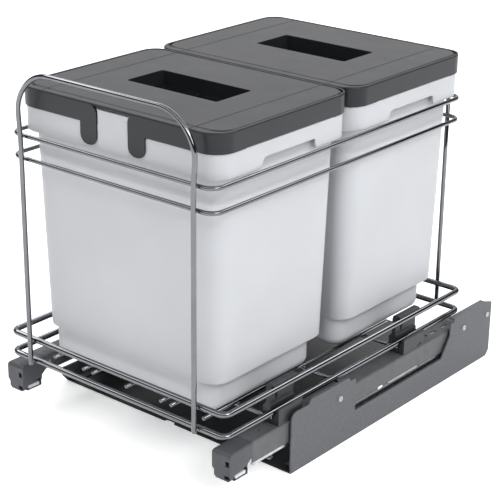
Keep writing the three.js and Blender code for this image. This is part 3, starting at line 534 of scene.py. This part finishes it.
def lid_ring(place_name, start):
    """The frame over the rim, with its two prongs on the front."""
    corner_foot = LID_FOOT - 0.35
    rings = [inset_ring(start, 0.0, corner_foot + 0.5, LID_CORNER)]
    for a, z in arc(LID_EDGE, LID_TOP - LID_EDGE, LID_EDGE, 180, 90, 5):
        rings.append(inset_ring(start, a, z, LID_CORNER - a))
    ledge_top = LID_TOP - WALL
    for k in range(6):
        turn = math.pi / 2 * k / 5
        grow, drop = RING_ROLL * (math.sin(turn) - 1), RING_ROLL * (1 - math.cos(turn))
        side, front = RING_SIDE + grow, RING_FRONT + grow
        rings.append(inset_ring(start, side, LID_TOP - drop, RING_CORNER - grow, front))
    rings.append(inset_ring(start, RING_SIDE, ledge_top, RING_CORNER, RING_FRONT))
    for z in (ledge_top, ledge_top - WALL):
        rings.append(inset_ring(start, RING_SIDE + LEDGE, z, RING_CORNER - LEDGE, RING_FRONT + LEDGE))
    rings.append(inset_ring(start, WALL, ledge_top - WALL, LID_CORNER - WALL))
    rings.append(inset_ring(start, WALL, corner_foot + 0.3, LID_CORNER - WALL))
    rings.append(inset_ring(start, WALL - 0.3, corner_foot, LID_CORNER - WALL + 0.3))
    rings.append(inset_ring(start, 0.5, corner_foot, LID_CORNER - 0.5))
    frame_ring = loft("lid_ring_" + place_name, rings, True)
    raised = LID_FOOT + STEP_RISE
    y0, y1 = start + STEP_FRONT, start + BIN_DEPTH - STEP_REAR
    step = [(y0 - 2, LID_FOOT - 2), (y1 + 2, LID_FOOT - 2), (y1, raised), (y0, raised)]
    cutters = []
    for sign in (-1, 1):
        cutters.append(prism("step", step, "x", sign * (BIN_HALF - WALL - 1), sign * (BIN_HALF + 1)))
    g, r = PRONG_GAP, NOTCH_CORNER
    notch = [(-g, LID_FOOT - 3), (g, LID_FOOT - 3)]
    for sign in (1, -1):
        for i in range(9):
            k = i if sign > 0 else 8 - i
            angle = math.pi / 2 * k / 8
            notch.append((sign * (g + r * (1 - math.cos(angle))), ledge_top - r + r * math.sin(angle)))
    cutters.append(prism("notch", notch, "y", start - 1, start + WALL))
    combine(frame_ring, cutters)
    prongs = []
    for sign in (-1, 1):
        corners = [
            (g, PRONG_FOOT, PRONG_CORNER), (g + PRONG_WIDTH, PRONG_FOOT, PRONG_CORNER),
            (g + PRONG_WIDTH, LID_FOOT + WALL, 0), (g, LID_FOOT + WALL, 0),
        ]
        outline = [(sign * a, b) for a, b in rounded(corners, 9)]
        prongs.append(prism("prong", outline, "y", start, start + PRONG_THICK))
    combine(frame_ring, prongs, "UNION")
    soften(frame_ring, 0.45, 3, 40)
    return dress(frame_ring, place_name + "_lid", ["lid_frame_" + place_name], "lid_plastic", degrees=38)


OPENING_HALF, OPENING_FRONT, OPENING_DEPTH, OPENING_CORNER = 66.0, 91.5, 58.5, 3.0
CHUTE_WALL, CHUTE_DEPTH = 1.8, 18.0
SCORE_X, SCORE_HALF, SCORE_DEPTH = 108.0, 0.45, 0.32


def lid_leaf(place_name, start):
    """The panel in the frame, with the opening, its chute and two fine score lines."""
    low = LID_TOP - WALL + 0.3
    side, front = RING_SIDE + PANEL_GAP, RING_FRONT + PANEL_GAP
    rings = [inset_ring(start, side, low, PANEL_CORNER, front)]
    rings.append(inset_ring(start, side, LID_TOP - PANEL_EDGE + 0.35, PANEL_CORNER, front))
    for a, z in arc(PANEL_EDGE, LID_TOP - PANEL_EDGE, PANEL_EDGE, 170, 90, 6):
        rings.append(inset_ring(start, side + a, z, PANEL_CORNER - a, front + a))

    def opening(grow, z):
        return ring(-OPENING_HALF - grow, OPENING_HALF + grow, start + OPENING_FRONT - grow,
                    start + OPENING_FRONT + OPENING_DEPTH + grow, OPENING_CORNER + grow, z)

    for grow, drop in ((0.7, 0.0), (0.3, 0.12), (0.1, 0.35), (0.0, 0.8)):
        rings.append(opening(grow, LID_TOP - drop))
    rings.append(opening(0.0, LID_TOP - CHUTE_DEPTH + 0.4))
    rings.append(opening(0.4, LID_TOP - CHUTE_DEPTH))
    rings.append(opening(CHUTE_WALL - 0.4, LID_TOP - CHUTE_DEPTH))
    rings.append(opening(CHUTE_WALL, LID_TOP - CHUTE_DEPTH + 0.4))
    rings.append(opening(CHUTE_WALL, low))
    leaf = loft("lid_leaf_" + place_name, rings, True)
    cutters = []
    over = LID_TOP + 0.2
    for x in (-SCORE_X, SCORE_X):
        groove = [(x - SCORE_HALF, over), (x + SCORE_HALF, over), (x, LID_TOP - SCORE_DEPTH)]
        cutters.append(prism("score", groove, "y", start + 2, start + BIN_DEPTH - 1))
    combine(leaf, cutters)
    return dress(leaf, place_name + "_panel", ["lid_panel_" + place_name], "lid_plastic", degrees=30)


for place_name, start in BIN_STARTS.items():
    make_bin(place_name, start)
    lid_ring(place_name, start)
    lid_leaf(place_name, start)


# ---- Wire basket ----
CROSS = {"front": 78.25, "middle": 198.1, "rear": 317.95}
CROSS_HALF = 165.4
GRID_FRONT, GRID_END = 20.4, 364.4
UPRIGHT_FOOT, UPRIGHT_TOP = 76.6, 352.7
GRID = {"floor_wire_middle": 0.0}
for order, x in ((1, 53.2), (2, 68.8), (3, 116.7)):
    GRID["floor_wire_%d_right" % order] = x
    GRID["floor_wire_%d_left" % order] = -x


def wire_piece(name, node, path, radius, up, **options):
    return dress(tube(name, path, radius, up, **options), "drawer", [node], "chrome_wire", even=False)


def loop_points(half, y0, y1, corner, z):
    return ring(-half, half, y0, y1, corner, z, steps=14)


def bend_points():
    """The arch's centre line, its legs bowed out a little below the bends."""
    foot, top, bend, bow = 76.0, 429.0, 47.0, 2.2
    start = top - bend
    side = []
    for i in range(37):
        z = foot + (start - foot) * i / 36
        side.append((ARCH_HALF + bow * math.exp(-(((z - 386) / 26) ** 2)), z))
    for i in range(1, 19):
        turn = math.pi / 2 * i / 18
        swell = bow * math.exp(-((bend * math.sin(turn) - 4) / 26) ** 2) * math.cos(turn)
        side.append((ARCH_HALF - bend + bend * math.cos(turn) + swell, start + bend * math.sin(turn)))
    left = [(-x, ARCH_Y, z) for x, z in side]
    right = [(x, ARCH_Y, z) for x, z in reversed(side)]
    return left + right


for i, where in enumerate(("bottom", "top")):
    path = loop_points(BASKET_HALF, 0.0, BASKET_REAR, BASKET_CORNER, LOWER_LOOPS[i])
    wire_piece("lower_loop_wire_" + where, "lower_loop_" + where, path, LOWER_WIRE / 2, (0, 0, 1),
               wrap=True, sides=24)
    path = loop_points(MID_HALF, MID_FRONT, MID_REAR, MID_CORNER, MID_LOOPS[i])
    wire_piece("upper_loop_wire_" + where, "upper_loop_" + where, path, MID_WIRE / 2, (0, 0, 1),
               wrap=True, sides=22)
wire_piece("arch_wire", "arch_handle", bend_points(), ARCH_WIRE / 2, (0, 1, 0), sides=24)
for side, sign in (("right", 1), ("left", -1)):
    path = [(sign * REAR_HALF, REAR_Y, z) for z in (UPRIGHT_FOOT, 150.0, 250.0, UPRIGHT_TOP)]
    wire_piece("rear_wire_" + side, "rear_upright_" + side, path, REAR_WIRE / 2, (0, 1, 0))
for node, x in GRID.items():
    path = [(x, y, GRID_Z) for y in (GRID_FRONT, 130.0, 250.0, GRID_END)]
    wire_piece(node + "_rod", node, path, GRID_WIRE / 2, (0, 0, 1))
for where, y in CROSS.items():
    path = [(x, y, CROSS_Z) for x in (-CROSS_HALF, -80.0, 80.0, CROSS_HALF)]
    wire_piece("cross_rod_" + where, "cross_wire_" + where, path, GRID_WIRE / 2, (0, 0, 1))


def bead(bm, centre, size, seed):
    """A small lumpy weld."""
    made = bmesh.ops.create_icosphere(bm, subdivisions=3, radius=1.0)
    for vert in made["verts"]:
        bump = noise.noise(vert.co * 1.7 + Vector((seed, 0.0, 0.0)))
        spot = vert.co * (1.0 + 0.28 * bump)
        vert.co = at(centre[0] + spot.x * size[0], centre[1] + spot.y * size[1], centre[2] + spot.z * size[2])


def weld_beads():
    """A bead at each place where two wires cross, its size given as three half-widths."""
    bm = bmesh.new()
    spots = []
    for x in (-ARCH_HALF, ARCH_HALF):
        spots += [((x, -3.7, z), (3.2, 1.6, 1.5)) for z in LOWER_LOOPS + MID_LOOPS]
    for x in (-REAR_HALF, REAR_HALF):
        spots += [((x, REAR_Y - REAR_WIRE / 2, z), (2.8, 1.4, 1.4)) for z in LOWER_LOOPS + MID_LOOPS]
    for y in CROSS.values():
        spots += [((x, y, 75.95), (2.0, 2.0, 1.3)) for x in GRID.values()]
        spots += [((x, y, 75.9), (2.4, 2.0, 1.6)) for x in (-163.6, 163.6)]
    for seed, (centre, size) in enumerate(spots):
        bead(bm, centre, size, seed * 3.1)
    mesh = bpy.data.meshes.new("weld_beads")
    bm.to_mesh(mesh)
    bm.free()
    obj = bpy.data.objects.new("weld_beads", mesh)
    bpy.context.scene.collection.objects.link(obj)
    return dress(obj, "drawer", [], "chrome_wire", even=False)


weld_beads()
for obj in bpy.data.objects:
    if obj.get("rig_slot") == "chrome_wire" and obj.type == "MESH":
        obj.data.shade_smooth()


# ---- Clips that lock the basket on the runners ----
CLIP_LENGTH = 42.0
CLIP_Y = {"front": 80.8, "rear": 320.5}


def make_clip(where, side, sign):
    place = on_side(sign)
    y0 = CLIP_Y[where]
    y1 = y0 + CLIP_LENGTH
    wire = BASKET_HALF - RUNNER_X
    reach = wire + 1.0
    base, block_top, hook_top = 64.05, 84.0, 112.2
    under = hook_top - 10.2
    outline = rounded([
        (-11.0, base, 0), (11.5, base, 0.6), (11.5, block_top, 1.6), (wire + 3.8, block_top, 0.6),
        (wire + 3.8, 79.0, 0), (-0.3, 79.0, 0), (-0.3, block_top + 1, 0.6), (-1.8, block_top + 3, 1.5),
        (-1.8, under, 1.5), (reach, under, 0.4), (reach, hook_top, 3.4), (-5.5, hook_top, 3.0),
        (-7.0, 108.0, 1.5), (-7.0, 88.0, 2.0), (-11.0, 84.0, 2.0),
    ])
    body = prism("clip_%s_%s" % (where, side), outline, "y", y0, y1, place)
    cutters = []
    for z in LOWER_LOOPS:
        cutters.append(prism("way", circle(wire, z, LOWER_WIRE / 2 + 0.3), "y", y0 - 1, y1 + 1, place))
    recess = [(y0 + 7.5, 100.5), (y0 + 15.5, 100.5), (y0 + 11.5, 87.5)]
    cutters.append(prism("recess", rounded([(a, b, 0.8) for a, b in recess], 3), "x", -3.6, -1.0, place))
    slot = [(y0 + CLIP_LENGTH - 14.0, 66.5), (y0 + CLIP_LENGTH - 5.0, 66.5), (y0 + CLIP_LENGTH - 5.0, 69.0),
            (y0 + CLIP_LENGTH - 14.0, 69.0)]
    cutters.append(prism("slot", slot, "x", 10.6, 12.5, place))
    combine(body, cutters)
    soften(body, 0.7, 3, 40)
    return dress(body, "drawer", ["basket_clip_%s_%s" % (where, side)], "dark_plastic", degrees=40)


# ---- Runner covers ----
COVER_FRONT, COVER_REAR = 35.0, 458.0


def make_cover(side, sign):
    place = on_side(sign)
    half, sheet, skirt, top, lip = 12.5, 1.2, 38.5, RUNNER_TOP, 7.0
    inside = half - sheet
    outline = rounded([
        (-half, top - lip, 0.3), (-inside, top - lip, 0.3),
        (-inside, top - sheet, 0.9), (inside, top - sheet, 0.9),
        (inside, skirt, 0.3), (half, skirt, 0.3), (half, top, 2.1), (-half, top, 2.1),
    ], 6)
    bar = prism("cover_" + side, outline, "y", COVER_FRONT, COVER_REAR, place)
    nick = COVER_FRONT + 254.0
    cutters = [
        prism("hole", circle(0, COVER_FRONT + 24.0, 2.6), "z", top - 3, top + 1, place),
        slab("nick", (inside - 1, half + 1), (nick, nick + 63.0), (skirt - 1, skirt + 2.2), place),
    ]
    for i in range(2):
        y = COVER_REAR - 58.0 + 25.0 * i
        ends = rounded([(-2, y - 6, 1.9), (2, y - 6, 1.9), (2, y + 6, 1.9), (-2, y + 6, 1.9)], 5)
        cutters.append(prism("slot", ends, "z", top - 3, top + 1, place))
    cutters.append(prism("pit", circle(-2.0, COVER_FRONT + 9.0, 2.0, 20), "z", top - 0.35, top + 1, place))
    combine(bar, cutters)
    soften(bar, 0.25, 2, 50)
    # The covers share the plate's base_coat slot but take the lighter cover_coat tone, without the plate's
    # painted shade.
    return dress(bar, "drawer", ["runner_cover_" + side], "base_coat", degrees=30, finish="cover_coat")


def cover_details(side, sign):
    """The small light plug on the side of the cover and the pin on its top."""
    place = on_side(sign)
    plug = rounded([(267.5, 38.9, 1.4), (276.5, 38.9, 1.4), (276.5, 41.9, 1.4), (267.5, 41.9, 1.4)], 6)
    button = soften(prism("cover_plug_" + side, plug, "x", 12.3, 13.0, place), 0.3, 2)
    dress(button, "drawer", [], "white_plastic")
    pin = lathe("cover_pin_" + side, [(0, -0.4), (1.8, -0.4), (1.8, 0.5), (1.3, 0.9), (0, 1.0)],
                (0, 386.0, RUNNER_TOP), "z", place, 20)
    dress(pin, "drawer", [], "dark_plastic")


# ---- End caps and their release levers ----
CAP_HALF, CAP_FRONT, CAP_TOP, CAP_FOOT = 13.0, -2.0, 63.6, 30.0
PIN_Y, PIN_Z = 28.5, 36.4
EAR_X, EAR_THICK, EAR_R = 7.5, 2.2, 3.6


def straight(x):
    """Places a piece drawn about x without mirroring it: both caps are the same moulding."""
    return lambda a, y, z: at(x + a, y, z)


def make_cap(side, sign):
    place = straight(sign * RUNNER_X)
    rear = COVER_FRONT
    face = rounded([
        (-CAP_HALF, CAP_TOP, 3.2), (-CAP_HALF, 42.0, 0.8), (-CAP_HALF + 3, 39.0, 0.8),
        (-CAP_HALF + 3, CAP_FOOT + 3, 1.0), (-CAP_HALF + 6, CAP_FOOT, 1.2), (CAP_HALF - 3, CAP_FOOT, 1.2),
        (CAP_HALF, CAP_FOOT + 3, 1.2), (CAP_HALF, CAP_TOP, 2.4),
    ], 5)
    profile = rounded([
        (CAP_FRONT, CAP_FOOT, 0.6), (CAP_FRONT + 6, CAP_FOOT, 0.8), (CAP_FRONT + 6, 37.6, 1.0),
        (CAP_FRONT + 15, 37.6, 3.0), (CAP_FRONT + 27, 40.0, 8.0), (CAP_FRONT + 33, 44.7, 6.0),
        (rear, 48.0, 0), (rear, CAP_TOP, 0), (CAP_FRONT, CAP_TOP, 5.5),
    ], 6)
    body = prism("cap_" + side, face, "y", CAP_FRONT, rear, place)
    combine(body, [prism("cut", profile, "x", -CAP_HALF - 1, CAP_HALF + 1, place)], "INTERSECT")
    ears = []
    for x in (-EAR_X, EAR_X):
        around = [(PIN_Y + EAR_R, PIN_Z)]
        around += [(PIN_Y + EAR_R * math.cos(t), PIN_Z - EAR_R * math.sin(t))
                   for t in [math.pi * k / 12 for k in range(1, 12)]]
        around += [(PIN_Y - EAR_R, PIN_Z), (PIN_Y - EAR_R, 48.0), (PIN_Y + EAR_R, 48.0)]
        ears.append(prism("ear", around, "x", x - EAR_THICK / 2, x + EAR_THICK / 2, place))
    combine(body, ears, "UNION")
    cutters = [
        slab("hole", (5.8, 11.0), (CAP_FRONT - 1, CAP_FRONT + 9), (47.7, 54.2), place),
        slab("notch", (4.6, 11.9), (CAP_FRONT - 1, CAP_FRONT + 4.5), (32.0, 36.6), place),
        prism("pin_hole", circle(PIN_Y, PIN_Z, 1.75, 20), "x", -CAP_HALF - 1, CAP_HALF + 1, place),
    ]
    combine(body, cutters)
    soften(body, 0.45, 3, 40)
    return dress(body, "drawer", ["end_cap_" + side], "cap_plastic", degrees=40)


def make_lever(side, sign):
    place = straight(sign * RUNNER_X)
    half = EAR_X - EAR_THICK / 2 - 0.35
    top, low = PIN_Z, PIN_Z - 3.4
    ear_front = PIN_Y - EAR_R - 0.7
    outline = rounded([
        (5.0, low, 1.2), (PIN_Y, low, 1.0), (PIN_Y, top, 0.4), (5.0, top, 0.8),
    ], 5)
    blade = prism("lever_" + side, outline, "x", -half, half, place)
    barrel = prism("barrel", circle(PIN_Y, PIN_Z, 2.4, 24), "x", -half, half, place)
    ear_end = EAR_X + EAR_THICK / 2
    pin = prism("pin", circle(PIN_Y, PIN_Z, 1.4, 18), "x", -ear_end, ear_end, place)
    reach = rounded([(5.0, low, 1.0), (ear_front, low, 0.8), (ear_front, top, 0.4), (5.0, top, 0.6)], 4)
    wing = prism("wing", reach, "x", half - 1, CAP_HALF - 3.2, place)
    rest = rounded([
        (4.2, low - 3.0, 1.0), (ear_front + 2.6, low - 3.0, 1.2), (ear_front + 2.6, top + 1.4, 0.9),
        (ear_front + 0.8, top + 1.4, 0.8), (ear_front + 0.8, low - 1.7, 0.6), (4.2, low - 1.7, 0.5),
    ], 4)
    tray = prism("tray", rest, "x", CAP_HALF - 4.4, CAP_HALF, place)
    combine(blade, [barrel, pin, wing, tray], "UNION")
    soften(blade, 0.3, 2, 45)
    dress(blade, "lever_" + side, ["release_lever_" + side], "dark_plastic", degrees=40)
    pad_outline = rounded([
        (6.4, top - 4.7, 1.2), (ear_front - 0.6, top - 4.7, 1.2), (ear_front - 0.6, top - 0.7, 0.8),
        (6.4, top - 0.7, 0.8),
    ], 5)
    pad = prism("lever_touch_" + side, pad_outline, "x", CAP_HALF - 3.2, CAP_HALF, place)
    soften(pad, 0.6, 3, 45)
    dress(pad, "lever_" + side, ["lever_pad_" + side], "pad_plastic", degrees=40)


# ---- Brackets and fixings ----
FIXING_YS = {"front": BASE_FRONT + 90.0, "middle": BASE_FRONT + 350.0, "rear": BASE_FRONT + 405.0}
FIXING_Z = 59.0
PLATE_HALF = BASE_HALF - SHEET
DENT_Y, DENT_Z, DENT_OUTER, DENT_INNER, DENT_DEPTH = 4.6, 3.0, 4.3, 3.5, 0.3


def tail_outline():
    """The (y, z) outline that both brackets share: the rear, the flange's edge and the window."""
    f = BASE_FRONT
    return [
        (BASE_REAR - 7, 0, 1.5), (BASE_REAR, 7, 1.5), (BASE_REAR, 74.5, 2.5), (f + 399, 79.0, 1.5),
        (f + 326, 79.0, 3.5), (f + 326, 74.5, 1.5), (f + 318, 74.5, 2.0), (f + 318, 58.0, 3.0),
        (f + 300, 32.8, 2.5), (f + 119, 32.8, 1.5), (f + 119, 74.5, 2.0),
    ]


def make_bracket(side, sign):
    place = on_side(sign, 0.0)
    f = BASE_FRONT
    if side == "right":
        nose = [(f + 109, 74.5, 1.0), (f + 106, 79.5, 3.5), (f + 33, 79.5, 4.5), (f + 32, 74.5, 1.5),
                (f, 74.5, 9.0), (f, 0, 0)]
    else:
        nose = [(f + 54, 74.5, 3.0), (f + 46, 20.5, 3.0), (f - 8.5, 20.5, 2.0), (f - 8.5, 10.2, 2.0),
                (f - 4.2, 5.1, 1.0), (f, 0, 0)]
    wall = prism("side_wall_" + side, rounded(tail_outline() + nose, 6), "x", PLATE_HALF, BASE_HALF, place)
    extra = [
        slab("foot", (PLATE_HALF - 14, PLATE_HALF + 0.9), (f + 10, BASE_REAR - 10),
             (SHEET, 2 * SHEET), place),
        slab("flange", (PLATE_HALF - 6.5, PLATE_HALF + 0.9), (f + 326, f + 399), (79 - SHEET, 79), place),
    ]
    if side == "right":
        extra.append(slab("lip", (PLATE_HALF - 2.2, PLATE_HALF + 0.9), (f + 38, f + 101),
                          (79.5 - SHEET, 79.5), place))
    combine(wall, extra, "UNION")
    dents = []
    for y in FIXING_YS.values():
        spot = (y - DENT_Y, FIXING_Z + DENT_Z)
        floor_x = BASE_HALF - DENT_DEPTH
        outer = prism("dent", circle(*spot, DENT_OUTER, 32), "x", floor_x, BASE_HALF + 1, place)
        inner = prism("core", circle(*spot, DENT_INNER, 32), "x", BASE_HALF - 2, BASE_HALF + 2, place)
        combine(outer, [inner])
        dents.append(outer)
    combine(wall, dents)
    soften(wall, 0.35, 2, 40)
    return dress(wall, "base", ["bracket_" + side], "bracket_coat", degrees=34)


def make_fixing(where, y, side, sign):
    place = on_side(sign, BASE_HALF)
    profile = [(0, 0.0), (3.4, 0.0), (3.4, 0.4), (3.1, 0.9), (2.4, 1.15), (1.6, 1.2), (1.3, 0.5), (0, 0.4)]
    head = lathe("fixing_%s_%s" % (where, side), profile, (0, y, FIXING_Z), "x", place, 32)
    return dress(head, "base", ["bracket_fixing_%s_%s" % (where, side)], "white_plastic", degrees=40,
                 finish="fixing_plastic")


# ---- Base plate and floor screws ----
SCREW_X = BASE_HALF - 38.5
SCREWS = {
    "front_left": (-SCREW_X, BASE_FRONT + 10), "front_right": (SCREW_X, BASE_FRONT + 10),
    "rear_left": (-SCREW_X, BASE_REAR - 26), "rear_right": (SCREW_X, BASE_REAR - 26),
}


def make_plate():
    f = BASE_FRONT
    outline = rounded([
        (-PLATE_HALF, f, 0), (-12.0, f, 3.0), (-12.0, f + 4, 2.5), (2.0, f + 4, 2.5), (2.0, f, 3.0),
        (PLATE_HALF, f, 0), (PLATE_HALF, BASE_REAR, 0), (-PLATE_HALF, BASE_REAR, 0),
    ], 5)
    plate = prism("floor_plate", outline, "z", 0, SHEET)
    cutters = [prism("hole", circle(x, y, 2.3), "z", -1, 3) for x, y in SCREWS.values()]
    mid = f + 303
    cutters.append(prism("slot", rounded([(-16, mid - 3, 2.9), (6, mid - 3, 2.9), (6, mid + 3, 2.9),
                                          (-16, mid + 3, 2.9)], 6), "z", -1, 3))
    combine(plate, cutters)
    soften(plate, 0.3, 2, 40)
    # The plate's near-black tone carries painted shade from the bins above it over its dark paint.
    return dress(plate, "base", ["base_plate"], "base_coat", degrees=34)


def make_screw(where, x, y):
    profile = [(0, -1.5), (1.9, -1.5), (1.9, 0.3), (4.2, 0.3), (4.2, 1.1), (3.9, 1.8), (3.2, 2.3), (2.2, 2.6),
               (0, 2.7)]
    screw = lathe("pan_screw_" + where, profile, (x, y, SHEET), "z", at, 32)
    cutters = [slab("bar", (x - 2.3, x + 2.3), (y - 0.45, y + 0.45), (SHEET + 1.2, SHEET + 4)),
               slab("bar", (x - 0.45, x + 0.45), (y - 2.3, y + 2.3), (SHEET + 1.2, SHEET + 4))]
    combine(screw, cutters)
    return dress(screw, "base", ["floor_screw_" + where], "zinc", degrees=34)


for side, sign in (("right", 1), ("left", -1)):
    for where in CLIP_Y:
        make_clip(where, side, sign)
    make_cover(side, sign)
    cover_details(side, sign)
    make_cap(side, sign)
    make_lever(side, sign)
    make_bracket(side, sign)
    for where, y in FIXING_YS.items():
        make_fixing(where, y, side, sign)
make_plate()
for where, (x, y) in SCREWS.items():
    make_screw(where, x, y)

# ---- Nodes of the frame that stay as they are ----
KEPT = {
    "fixed_rail": "zinc", "middle_rail": "zinc", "drawer_rail": "zinc", "soft_close_unit": "dark_plastic",
    "inner_roller_cage": "white_plastic", "outer_roller_cage": "white_plastic",
}
for node, slot in KEPT.items():
    for side in ("right", "left"):
        obj = frame["nodes"]["%s_%s" % (node, side)]
        obj.data.materials.clear()
        obj.data.materials.append(FINISH[slot])

# ---- Floor, light and camera ----
FLOOR_REACH, FLOOR_DROP = 70.0, 0.0004
corners = [(x * FLOOR_REACH, y * FLOOR_REACH, 0) for x, y in ((-1, -1), (1, -1), (1, 1), (-1, 1))]
floor_mesh = bpy.data.meshes.new("floor")
floor_mesh.from_pydata(corners, [], [(0, 1, 2, 3)])
floor = bpy.data.objects.new("floor", floor_mesh)
bpy.context.scene.collection.objects.link(floor)
floor.location.z = -FLOOR_DROP
light_table = material("studio_floor", tone(250, 250, 250), tone(252, 252, 252), (0.9, 0.95),
                       spread=2.0, grain=40.0, bump=0.0, specular=0.1)
shining = light_table.node_tree.nodes["Principled BSDF"].inputs
shining["Emission Color"].default_value = (1.0, 1.0, 1.0, 1.0)
shining["Emission Strength"].default_value = 0.36
floor_mesh.materials.append(light_table)


def studio_world():
    """A dim room with a ring of lamps overhead and a bright wall behind, which draw lines in the chrome."""
    world = bpy.data.worlds.new("studio")
    bpy.context.scene.world = world
    world.use_nodes = True
    tree = world.node_tree
    ground = tree.nodes["Background"]
    where = tree.nodes.new("ShaderNodeTexCoord")

    def along(direction):
        node = tree.nodes.new("ShaderNodeVectorMath")
        node.operation = "DOT_PRODUCT"
        node.inputs[1].default_value = direction
        tree.links.new(where.outputs["Generated"], node.inputs[0])
        return node.outputs["Value"]

    def ramp(value, low, high, start, end):
        node = tree.nodes.new("ShaderNodeMapRange")
        node.interpolation_type = "SMOOTHSTEP"
        for key, number in (("From Min", low), ("From Max", high), ("To Min", start), ("To Max", end)):
            node.inputs[key].default_value = number
        tree.links.new(value, node.inputs["Value"])
        return node.outputs["Result"]

    def combine_values(kind, a, b):
        node = tree.nodes.new("ShaderNodeMath")
        node.operation = kind
        for i, value in enumerate((a, b)):
            if isinstance(value, float):
                node.inputs[i].default_value = value
            else:
                tree.links.new(value, node.inputs[i])
        return node.outputs["Value"]

    height = along((0.0, 0.0, 1.0))
    # The ring comes on at 0.59 to 0.64 of the way up and most of it goes off again at 0.69 to 0.75.
    strips = combine_values("ADD", ramp(height, 0.59, 0.64, 0.0, 5.2), ramp(height, 0.69, 0.75, 0.0, -4.6))
    wall_direction = (-0.604, 0.7065, 0.3688)
    behind = ramp(along(wall_direction), 0.74, 0.93, 0.0, 0.86)
    room = 0.10
    strength = combine_values("ADD", combine_values("ADD", strips, behind), room)
    tree.links.new(strength, ground.inputs["Strength"])
    ground.inputs["Color"].default_value = (1.0, 1.0, 1.0, 1.0)


studio_world()
lamp = bpy.data.lights.new("key", "SUN")
lamp.energy = 1.3
lamp.angle = math.radians(34)
key = bpy.data.objects.new("key", lamp)
bpy.context.scene.collection.objects.link(key)
key.rotation_euler = Vector((0.8, -0.15, 0.6)).to_track_quat("Z", "Y").to_euler()

camera_data = bpy.data.cameras.new("camera")
camera = bpy.data.objects.new("camera", camera_data)
bpy.context.scene.collection.objects.link(camera)
azimuth, elevation, roll = math.radians(40.53), math.radians(21.64), math.radians(0.3)
distance = 1.85027
level = math.cos(elevation)
back = Vector((math.sin(azimuth) * level, -math.cos(azimuth) * level, math.sin(elevation)))
right = Vector((math.cos(azimuth), math.sin(azimuth), 0.0))
up = back.cross(right)
rolled_right = right * math.cos(roll) + up * math.sin(roll)
rolled_up = up * math.cos(roll) - right * math.sin(roll)
target = Vector((-0.0274, -0.0257, 0.1741))
turn = camera.matrix_world.copy()
for row in range(3):
    turn[row][0] = rolled_right[row]
    turn[row][1] = rolled_up[row]
    turn[row][2] = back[row]
    turn[row][3] = (target + back * distance)[row]
camera.matrix_world = turn
camera_data.sensor_width = 36.0
camera_data.lens = 109.95
camera_data.shift_x = 0.0483
camera_data.shift_y = 0.0037
camera_data.clip_end = 250.0
bpy.context.scene.camera = camera
bpy.context.scene.view_settings.view_transform = "Standard"
